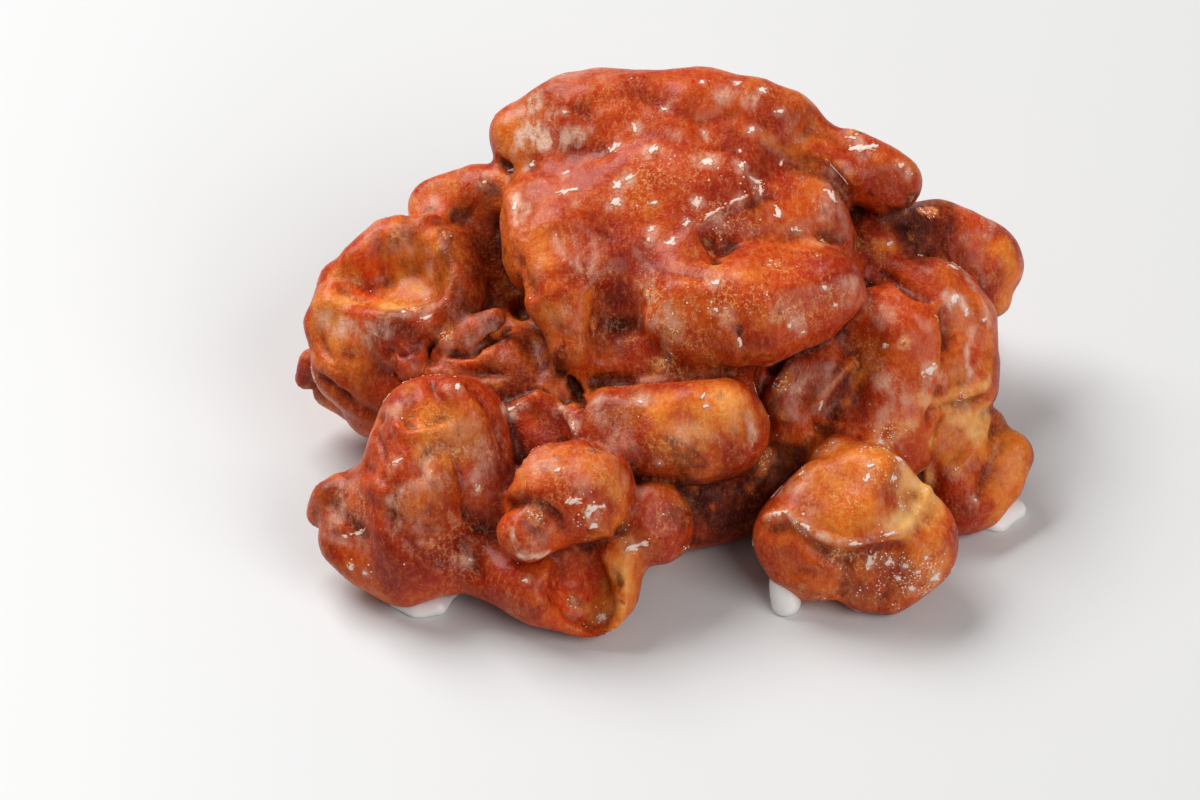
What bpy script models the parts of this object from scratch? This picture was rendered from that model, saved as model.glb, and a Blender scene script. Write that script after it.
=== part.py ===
"""Apple fritter: one piece of glazed fried dough, built of rolls and knobs that have grown together.

Metres, +Z up. The fritter rests on z = 0, its long side along X, and its front towards -Y.
Each roll is a chain of balls, given by centre and radius in millimetres. Balls are added between
them, all are fused into one skin, hollows are cut, and the skin is smoothed, drifted and thinned.
"""

import math

import bmesh
import bpy
import numpy as np
from mathutils import Matrix, Vector

MM = 0.001
VOXEL = 1.0 * MM  # grain of the fused skin
BALL_SPACING = 0.4  # of the radius, between the balls of a roll
BALL_SUBDIVISIONS = 3
MELT = 1.6 * MM  # creases narrower than twice this are filled, as where dough has run together
SOFTEN_FACTOR = 0.5
SOFTEN_TIMES = 4
MELT_SOFTEN_TIMES = 5
TRIANGLES = 9400
# From the middle of the rolls below to the middle of the finished box, in millimetres.
MIDDLE_SHIFT = (0.4, -1.6, 0.0)
BASE_DEPTH = 20 * MM
BASE_SIDE = 400 * MM

# Unevenness of the dough: (spacing of the bends, how far they carry the skin), in millimetres.
DRIFTS = ((16, 1.1), (8, 0.4))
DRIFT_SEED = 3
# Stronger wandering of the far side: (lattice spacing, reach), from nought to full between two depths.
FAR_DRIFTS = ((15, 6.0), (7.5, 2.4))
FAR_DRIFT_SEED = 61
FAR_FROM = 34
FAR_FULL = 45

UP = (0, 0, 1)
ROUND = (UP, 1.0)
# Rolls pressed flatter: the direction they are pressed in, and their thickness over their width.
SLAB_PRESS = ((0, -0.3, 0.95), 0.8)
LIP_PRESS = ((0, 0.5, 0.87), 0.9)
TONGUE_PRESS = ((0.2, -0.6, 0.75), 0.75)
FLAP_PRESS = ((0.1, 0.9, 0.4), 0.6)
BELLY_PRESS = (UP, 0.5)

# name: (press, ((x, y, z, radius), ...)) in millimetres
ROLLS = {
    # heart of the dough, inside
    "heart": (ROUND, ((-30, 10, 14, 14), (-6, 6, 18, 16), (14, 6, 18, 16), (34, 10, 16, 13))),
    "heart_high": (ROUND, ((-12, 14, 32, 12), (8, 12, 32, 14), (24, 12, 32, 11))),
    "heart_back": (ROUND, ((-28, 26, 17, 13), (0, 28, 19, 16), (28, 26, 18, 13))),
    "heart_right": (ROUND, ((34, 2, 19, 10), (42, 14, 18, 9), (36, 19, 31, 8))),
    "heart_left": (ROUND, ((-31, -24, 6, 7), (-28, -12, 9, 8), (-48, 12, 11, 10))),
    # crown
    "crown_back": (
        ROUND,
        (
            (-25, 31.5, 47.6, 6.8),
            (-18.5, 32, 50.2, 8.8),
            (-11, 32, 51.2, 8.8),
            (-3, 32, 51.6, 8.8),
            (8, 32, 52, 8.8),
            (16, 31, 52.4, 8.4),
            (22, 30, 51.8, 7.2),
        ),
    ),
    "crown_slab": (SLAB_PRESS, ((-14, 9, 38, 12.5), (4, 8, 38, 13), (20, 8, 36.5, 12))),
    "crown_top_left": (ROUND, ((-22, 17, 41.5, 7.5), (-10, 19, 43, 9))),
    "crown_saddle": (ROUND, ((-15, 2, 39.5, 7.2), (-8, 2, 40, 7.4), (0, 1, 39.5, 7.4))),
    "crown_dome": (ROUND, ((-2, 17, 43.5, 10.5), (10, 18.5, 44, 11))),
    "crown_side": (ROUND, ((22, 15, 41, 10),)),
    "crown_left_lobe": (ROUND, ((-17.5, 9, 40, 10.5), (-16.5, 0, 37.5, 7.5), (-15.5, -7, 34, 5.5))),
    "crown_lip": (LIP_PRESS, ((4, -5, 38.5, 9.5), (14, -4.5, 38, 11.5), (25.5, -2, 39.5, 9.3))),
    "crown_lip_low": (ROUND, ((-10, -8, 31.5, 4.5), (0, -9, 31.5, 4.5), (10, -9, 32, 5))),
    "crown_right": (ROUND, ((26, 27, 48, 6.5), (33, 24, 48, 6.5), (39, 21.5, 46, 6))),
    # right side
    "arm_back": (ROUND, ((50, 27, 28, 7), (58, 25, 24, 7.3), (57.5, 22, 20, 6))),
    "shoulder": (
        ROUND,
        (
            (39.5, 12, 32, 5),
            (46.5, 9, 30.5, 6.8),
            (51.2, 5, 27, 7),
            (52.5, 0, 23, 6.2),
            (53, -4, 20, 5.5),
        ),
    ),
    "shoulder_root": (ROUND, ((42, 10, 22, 10),)),
    "arm_root": (ROUND, ((38, 21, 33, 8), (46, 25, 29, 7), (50, 15, 24, 7))),
    "right_mid": (
        ROUND,
        (
            (37, 0, 31, 7),
            (41, -3, 30, 7.5),
            (41.5, -7, 25.5, 7.8),
            (40.5, -11, 19.5, 7.5),
            (39.5, -14, 15, 7),
        ),
    ),
    "right_inner": (
        ROUND,
        ((30.5, -2, 26.5, 6), (25.5, -7, 24, 6.5), (23, -10, 21, 6.5), (23, -12, 14, 6.5)),
    ),
    "right_join": (ROUND, ((46, 5, 27.5, 7), (47, 0, 24.5, 6.8), (46.8, -5, 20.5, 6.6), (46, -9, 16, 6))),
    "inner_fill": (ROUND, ((32, -6, 23, 6), (32, -10, 16, 6))),
    "arm_low_left": (ROUND, ((51.5, -9, 12.7, 6.5), (51.8, -14, 8.8, 6.3), (52.5, -19, 5.6, 5.8))),
    "arm_low_right": (ROUND, ((60.2, -10.8, 9.8, 5.2), (58.6, -14.5, 7, 5.4), (56, -18, 5.2, 5))),
    "arm_low_nub": (ROUND, ((57.6, -6.2, 13.4, 2.8),)),
    "front_right": (ROUND, ((27.5, -31, 17, 7.6), (33.5, -30.5, 17.5, 9.5), (32, -25, 16, 8.5))),
    "front_right_left": (ROUND, ((23.6, -34.2, 12.3, 9.1),)),
    "front_right_root": (ROUND, ((32, -24, 13, 8), (33, -14, 14, 8.5))),
    "front_right_right": (ROUND, ((41.5, -35, 11, 8.8),)),
    "front_right_heart": (ROUND, ((33, -33.5, 12, 10),)),
    "front_right_toe": (ROUND, ((38.5, -38, 5.1, 5.8), (27, -35.5, 6, 6.6))),
    # centre
    "centre": (
        ROUND,
        ((-11, -19.5, 25.3, 7.2), (-4, -20.5, 24.7, 9), (4.5, -21, 24.3, 9.6), (8.6, -20, 24.3, 9.2)),
    ),
    "centre_fill": (ROUND, ((-27, -6, 23.5, 7), (-18, -7.5, 24, 7), (-8, -9, 25, 6.5), (8, -12, 25, 7))),
    "centre_low": (ROUND, ((13, -18, 8.5, 8.5), (4, -22, 7.5, 7.5), (-3, -23, 7.5, 7.5))),
    "belly": (BELLY_PRESS, ((-28, 0, 9.5, 14), (-6, -3, 9, 15.5), (14, -2, 9.5, 15), (32, 2, 9, 12))),
    "belly_back": (BELLY_PRESS, ((-28, 19, 9, 14), (0, 20, 9.5, 15), (26, 20, 9, 13))),
    "belly_lumps": (ROUND, ((-14, 8, 6, 5.6), (-2, 13, 6.5, 5.5))),
    "belly_lumps_right": (ROUND, ((12, 4, 6.2, 5.8), (24, 10, 6, 5))),
    "knob_fill": (ROUND, ((-18, -33, 12, 6.5), (-12, -27, 12, 7.5), (-5, -27, 11, 6.5))),
    # front left
    "front_left": (ROUND, ((-41.8, -20.5, 25, 9.1), (-43.5, -29, 18.5, 10.5), (-43.5, -35, 12, 9))),
    "front_left_right": (ROUND, ((-36, -20, 25, 8.5), (-33.5, -25, 19, 8))),
    "ear": (
        ROUND,
        (
            (-46, -27, 14, 7.5),
            (-53.5, -28.3, 14.2, 6.2),
            (-56.5, -28.4, 15.4, 4.6),
            (-58.7, -28.8, 16, 3.2),
            (-60, -28.6, 11.6, 3.2),
            (-55.5, -31, 12.5, 5.6),
            (-55.3, -33.5, 10.3, 6),
            (-51, -35, 8, 6.4),
            (-45, -37.3, 5.8, 6),
        ),
    ),
    "bridge": (
        ROUND,
        (
            (-45, -37.5, 7, 5.8),
            (-34, -37, 9, 5.6),
            (-27, -41, 8.5, 5.3),
            (-20.5, -44, 7, 5.5),
            (-14, -44.3, 6.6, 7),
        ),
    ),
    "leg_side": (ROUND, ((-10.5, -41.5, 7.5, 5.2), (-8.5, -39, 12, 4.6))),
    "knob": (ROUND, ((-19.3, -33, 21.6, 8.9), (-15, -32.6, 21.6, 9.1))),
    "knob_tip": (ROUND, ((-24.2, -40.4, 19.6, 4.9), (-20.5, -36, 19.5, 6))),
    "knob_root": (ROUND, ((-31, -27, 13, 7), (-23, -29, 13, 8))),
    "nub": (ROUND, ((-3, -34, 14.5, 7.2),)),
    "ridge": (ROUND, ((-25, -15, 18.5, 6.5), (-20.5, -18, 18.5, 6.5))),
    "ridge_peak": (
        ROUND,
        (
            (-29.8, -14, 22.5, 2.2),
            (-27, -15, 23.2, 2),
            (-22.2, -15.4, 28, 1.4),
            (-18.9, -17.5, 25.8, 1.8),
            (-16.2, -20.5, 22.9, 2),
        ),
    ),
    "ridge_body": (ROUND, ((-22, -16, 23, 3.6), (-20, -19, 20, 5))),
    "under_ridge": (ROUND, ((-29, -12, 10, 10), (-22, -24, 9, 9.5))),
    # left side
    "left_top": (ROUND, ((-42, 27, 36, 5), (-35, 27, 38.5, 5.5), (-30, 26, 40, 5))),
    "left_rim": (ROUND, ((-54, 15, 32.5, 4), (-49, 17.5, 34.2, 5), (-42, 18, 36, 5.5))),
    "left_ridge": (ROUND, ((-38, 14, 34, 5.5), (-37.5, 8, 32, 5.5), (-38.5, 3, 29.5, 5))),
    "left_wall": (ROUND, ((-58, 14, 29, 4), (-60, 8, 25.5, 5), (-52.5, 4, 27, 5), (-45.5, 1, 28, 4.5))),
    "left_front": (ROUND, ((-55, 4, 20, 8.5), (-50.5, 1, 17, 8), (-50.5, 0.5, 13, 7))),
    "left_under": (ROUND, ((-60, 7.5, 10, 3.3), (-54.5, 3, 9.5, 3.3), (-50, -1, 10, 3.3))),
    "left_nub": (ROUND, ((-63, 8, 15.5, 3), (-64.5, 7, 13, 1.9))),
    "left_cap": (ROUND, ((-49, -2.5, 27, 3.2), (-45.5, -3.5, 26.5, 3.2))),
    "left_fill": (ROUND, ((-52, 12, 22, 8.5), (-46, 9, 24, 8.5))),
    "left_back": (ROUND, ((-42, 24, 26, 8), (-33, 22, 30, 8), (-31, 14, 24, 8))),
    "tongue": (
        TONGUE_PRESS,
        ((-40, -3.2, 26.8, 1.3), (-37, -2.6, 28.8, 2.7), (-33, -1.6, 31, 3.1), (-29.8, -0.2, 32.8, 2)),
    ),
    "flap": (ROUND, ((-37.5, -5.5, 25.5, 2.3), (-31, -5, 27, 3.5), (-27, -4, 25, 3.8))),
    "under_tongue": (ROUND, ((-26, -3, 22, 8), (-38, -4, 18, 8))),
    # far side
    "back_high": (ROUND, ((-14, 35, 38, 9.5), (3, 36, 35, 11), (19, 33, 38, 9), (28, 29, 35, 9))),
    "back_crown": (ROUND, ((-20, 37, 47, 5.5), (-8, 38.5, 43, 6.5), (6, 38.5, 46.5, 6), (17, 36, 43, 6.5))),
    "back_fold": (FLAP_PRESS, ((-24, 39, 29, 8), (-12, 42, 31, 9.5), (2, 44, 27, 9))),
    "back_left": (ROUND, ((-46, 26, 9, 10), (-40, 30, 17, 10))),
    "back_left_low": (ROUND, ((-30, 36, 9, 10), (-24, 39, 11, 10))),
    "back_mid": (ROUND, ((-12, 42, 17, 8.5), (-2, 44, 9, 9), (5, 43, 4, 6))),
    "back_right_mid": (ROUND, ((13, 41, 9, 10), (17, 39, 17, 10), (20, 39, 25, 8.5))),
    "back_right": (ROUND, ((33, 34, 8, 9.5), (38, 26, 17, 10))),
    "back_finger": (ROUND, ((44, 27, 8, 7), (51, 31, 6, 6))),
    "back_flap": (FLAP_PRESS, ((-33, 37, 17, 7), (-22, 44, 15, 9), (-10, 47, 10, 8))),
    "back_flap_right": (FLAP_PRESS, ((22, 41, 12, 7.5), (31, 38, 18, 8), (36, 33, 25, 6.5))),
    "back_knot": (ROUND, ((27, 38, 27, 5.5), (33, 35, 23, 4.5))),
    "back_ridge": (ROUND, ((-36, 36, 27, 2.6), (-30, 43, 21, 3), (-21, 49, 15, 2.6))),
    "back_ridge_right": (ROUND, ((4, 49, 22, 2.8), (12, 49, 16, 3.2), (22, 46, 9, 2.8))),
}

HOLLOWS = {
    "leg_face": ((-15.6, -46.8, 12, 7), (-15.2, -49.4, 9.2, 5.8)),
    "toe_arch": ((27.5, -43, -1, 5.5),),
    "far_pit": ((-6, 52, 17, 4.5),),
    "far_pit_right": ((26, 46, 5, 5),),
    "far_pit_left": ((-38, 44, 8, 5),),
    "left_bowl": ((-53.5, 8, 34, 4.2), (-48, 7.5, 36.5, 5.5), (-43, 6.5, 37, 5)),
    "groove": ((-8, -9.5, 42.5, 2.8), (-9.5, -13, 36.5, 3)),
}


def clear_scene():
    for obj in list(bpy.data.objects):
        bpy.data.objects.remove(obj, do_unlink=True)


def new_collection(name):
    collection = bpy.data.collections.new(name)
    bpy.context.scene.collection.children.link(collection)
    return collection


def press_matrix(press):
    """Scale that thins a ball along the press direction."""
    direction, share = press
    return Matrix.Scale(share, 4, Vector(direction).normalized())


def add_roll(bm, press, balls):
    """Balls from each named ball to the next, close enough to fuse into one roll."""
    squash = press_matrix(press)
    for index, ball in enumerate(balls):
        following = balls[min(index + 1, len(balls) - 1)]
        start = Vector(ball[:3])
        end = Vector(following[:3])
        gap = BALL_SPACING * min(ball[3], following[3])
        steps = max(1, math.ceil((end - start).length / gap))
        for step in range(steps):
            share = step / steps
            radius = ball[3] + share * (following[3] - ball[3])
            place = Matrix.Translation(start.lerp(end, share) * MM)
            bmesh.ops.create_icosphere(
                bm,
                subdivisions=BALL_SUBDIVISIONS,
                radius=radius * MM,
                matrix=place @ squash,
            )


def object_of_rolls(name, rolls, collection):
    bm = bmesh.new()
    for press, balls in rolls:
        add_roll(bm, press, balls)
    mesh = bpy.data.meshes.new(name)
    bm.to_mesh(mesh)
    bm.free()
    obj = bpy.data.objects.new(name, mesh)
    collection.objects.link(obj)
    return obj


def fuse(obj):
    """One skin round all that overlaps."""
    remesh = obj.modifiers.new("fuse", "REMESH")
    remesh.mode = "VOXEL"
    remesh.voxel_size = VOXEL
    remesh.adaptivity = 0


def soften(obj, times):
    smooth = obj.modifiers.new("soften", "SMOOTH")
    smooth.factor = SOFTEN_FACTOR
    smooth.iterations = times


def swell(obj, name, reach):
    """The skin carried outwards, or back in when the reach is negative."""
    displace = obj.modifiers.new(name, "DISPLACE")
    displace.direction = "NORMAL"
    displace.mid_level = 0
    displace.strength = reach


def as_cutter(obj):
    obj.hide_render = True
    obj.display_type = "WIRE"


def cut(obj, cutter):
    boolean = obj.modifiers.new("cut " + cutter.name, "BOOLEAN")
    boolean.operation = "DIFFERENCE"
    boolean.solver = "EXACT"
    boolean.object = cutter


def apply_modifiers(obj):
    graph = bpy.context.evaluated_depsgraph_get()
    mesh = bpy.data.meshes.new_from_object(obj.evaluated_get(graph))
    old = obj.data
    obj.modifiers.clear()
    obj.data = mesh
    bpy.data.meshes.remove(old)


def spline_weights(share):
    """Cubic B-spline weights of the four lattice points round a place."""
    return (
        (1 - share) ** 3 / 6,
        (3 * share**3 - 6 * share**2 + 4) / 6,
        (-3 * share**3 + 3 * share**2 + 3 * share + 1) / 6,
        share**3 / 6,
    )


def lattice_drift(points, spacing, seed):
    """A smooth random shift of each point, from a lattice of random shifts."""
    cells = 2 * math.ceil(90 / spacing) + 6
    lattice = np.random.default_rng(seed).standard_normal((cells, cells, cells, 3))
    place = points / spacing + cells / 2
    corner = np.floor(place).astype(int)
    weights = [spline_weights(place[:, axis] - corner[:, axis]) for axis in range(3)]
    shift = np.zeros_like(points)
    for i in range(4):
        for j in range(4):
            for k in range(4):
                weight = weights[0][i] * weights[1][j] * weights[2][k]
                cell = lattice[corner[:, 0] - 1 + i, corner[:, 1] - 1 + j, corner[:, 2] - 1 + k]
                shift += weight[:, None] * cell
    return shift


def drift_skin(mesh):
    count = len(mesh.vertices)
    flat = np.empty(count * 3, np.float32)
    mesh.vertices.foreach_get("co", flat)
    points = flat.reshape(-1, 3).astype(np.float64) / MM
    moved = points.copy()
    for order, (spacing, reach) in enumerate(DRIFTS):
        moved += reach * lattice_drift(points, spacing, DRIFT_SEED + order)
    far = np.clip((points[:, 1:2] - FAR_FROM) / (FAR_FULL - FAR_FROM), 0, 1)
    for order, (spacing, reach) in enumerate(FAR_DRIFTS):
        moved += reach * far * lattice_drift(points, spacing, FAR_DRIFT_SEED + order)
    moved += MIDDLE_SHIFT
    mesh.vertices.foreach_set("co", (moved * MM).astype(np.float32).ravel())
    mesh.update()


def crust_material():
    material = bpy.data.materials.new("glazed_crust")
    material.use_nodes = True
    shader = material.node_tree.nodes["Principled BSDF"]
    shader.inputs["Base Color"].default_value = (0.36, 0.09, 0.025, 1)
    shader.inputs["Roughness"].default_value = 0.35
    return material


def main():
    clear_scene()
    pastry = new_collection("apple_fritter")
    cutters = new_collection("cutters")
    cutters.hide_render = True

    fritter = object_of_rolls("fritter", ROLLS.values(), pastry)
    fuse(fritter)
    swell(fritter, "swell", MELT)
    fuse(fritter)
    soften(fritter, MELT_SOFTEN_TIMES)
    swell(fritter, "shrink", -MELT)
    hollows = object_of_rolls("hollows", [(ROUND, balls) for balls in HOLLOWS.values()], cutters)
    as_cutter(hollows)
    fuse(hollows)
    cut(fritter, hollows)
    fuse(fritter)
    soften(fritter, SOFTEN_TIMES)
    apply_modifiers(fritter)
    drift_skin(fritter.data)

    thin = fritter.modifiers.new("thin", "DECIMATE")
    thin.ratio = TRIANGLES / (2 * len(fritter.data.polygons))
    base_mesh = bpy.data.meshes.new("base")
    bm = bmesh.new()
    lowered = Matrix.Translation((0, 0, -BASE_DEPTH / 2))
    block = Matrix.Diagonal((BASE_SIDE, BASE_SIDE, BASE_DEPTH, 1))
    bmesh.ops.create_cube(bm, size=1, matrix=lowered @ block)
    bm.to_mesh(base_mesh)
    bm.free()
    base = bpy.data.objects.new("base", base_mesh)
    cutters.objects.link(base)
    as_cutter(base)
    cut(fritter, base)
    fritter.data.materials.append(crust_material())


main()
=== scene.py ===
import math

import bpy
import numpy as np
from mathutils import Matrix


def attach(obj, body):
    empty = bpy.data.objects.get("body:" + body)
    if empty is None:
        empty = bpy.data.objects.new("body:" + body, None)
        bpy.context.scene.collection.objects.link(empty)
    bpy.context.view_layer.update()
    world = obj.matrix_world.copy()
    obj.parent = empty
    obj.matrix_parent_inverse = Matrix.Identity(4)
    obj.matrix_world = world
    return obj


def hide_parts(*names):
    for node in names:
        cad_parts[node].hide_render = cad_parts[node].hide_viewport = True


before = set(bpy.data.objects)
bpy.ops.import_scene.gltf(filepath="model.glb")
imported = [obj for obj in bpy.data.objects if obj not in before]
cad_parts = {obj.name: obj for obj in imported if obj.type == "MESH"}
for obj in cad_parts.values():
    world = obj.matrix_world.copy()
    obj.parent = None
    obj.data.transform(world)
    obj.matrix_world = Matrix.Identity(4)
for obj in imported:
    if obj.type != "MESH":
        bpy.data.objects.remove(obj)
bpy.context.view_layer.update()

import openvdb
from mathutils import Vector
from mathutils.bvhtree import BVHTree

MM = 0.001
TINY = 1e-9

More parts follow.
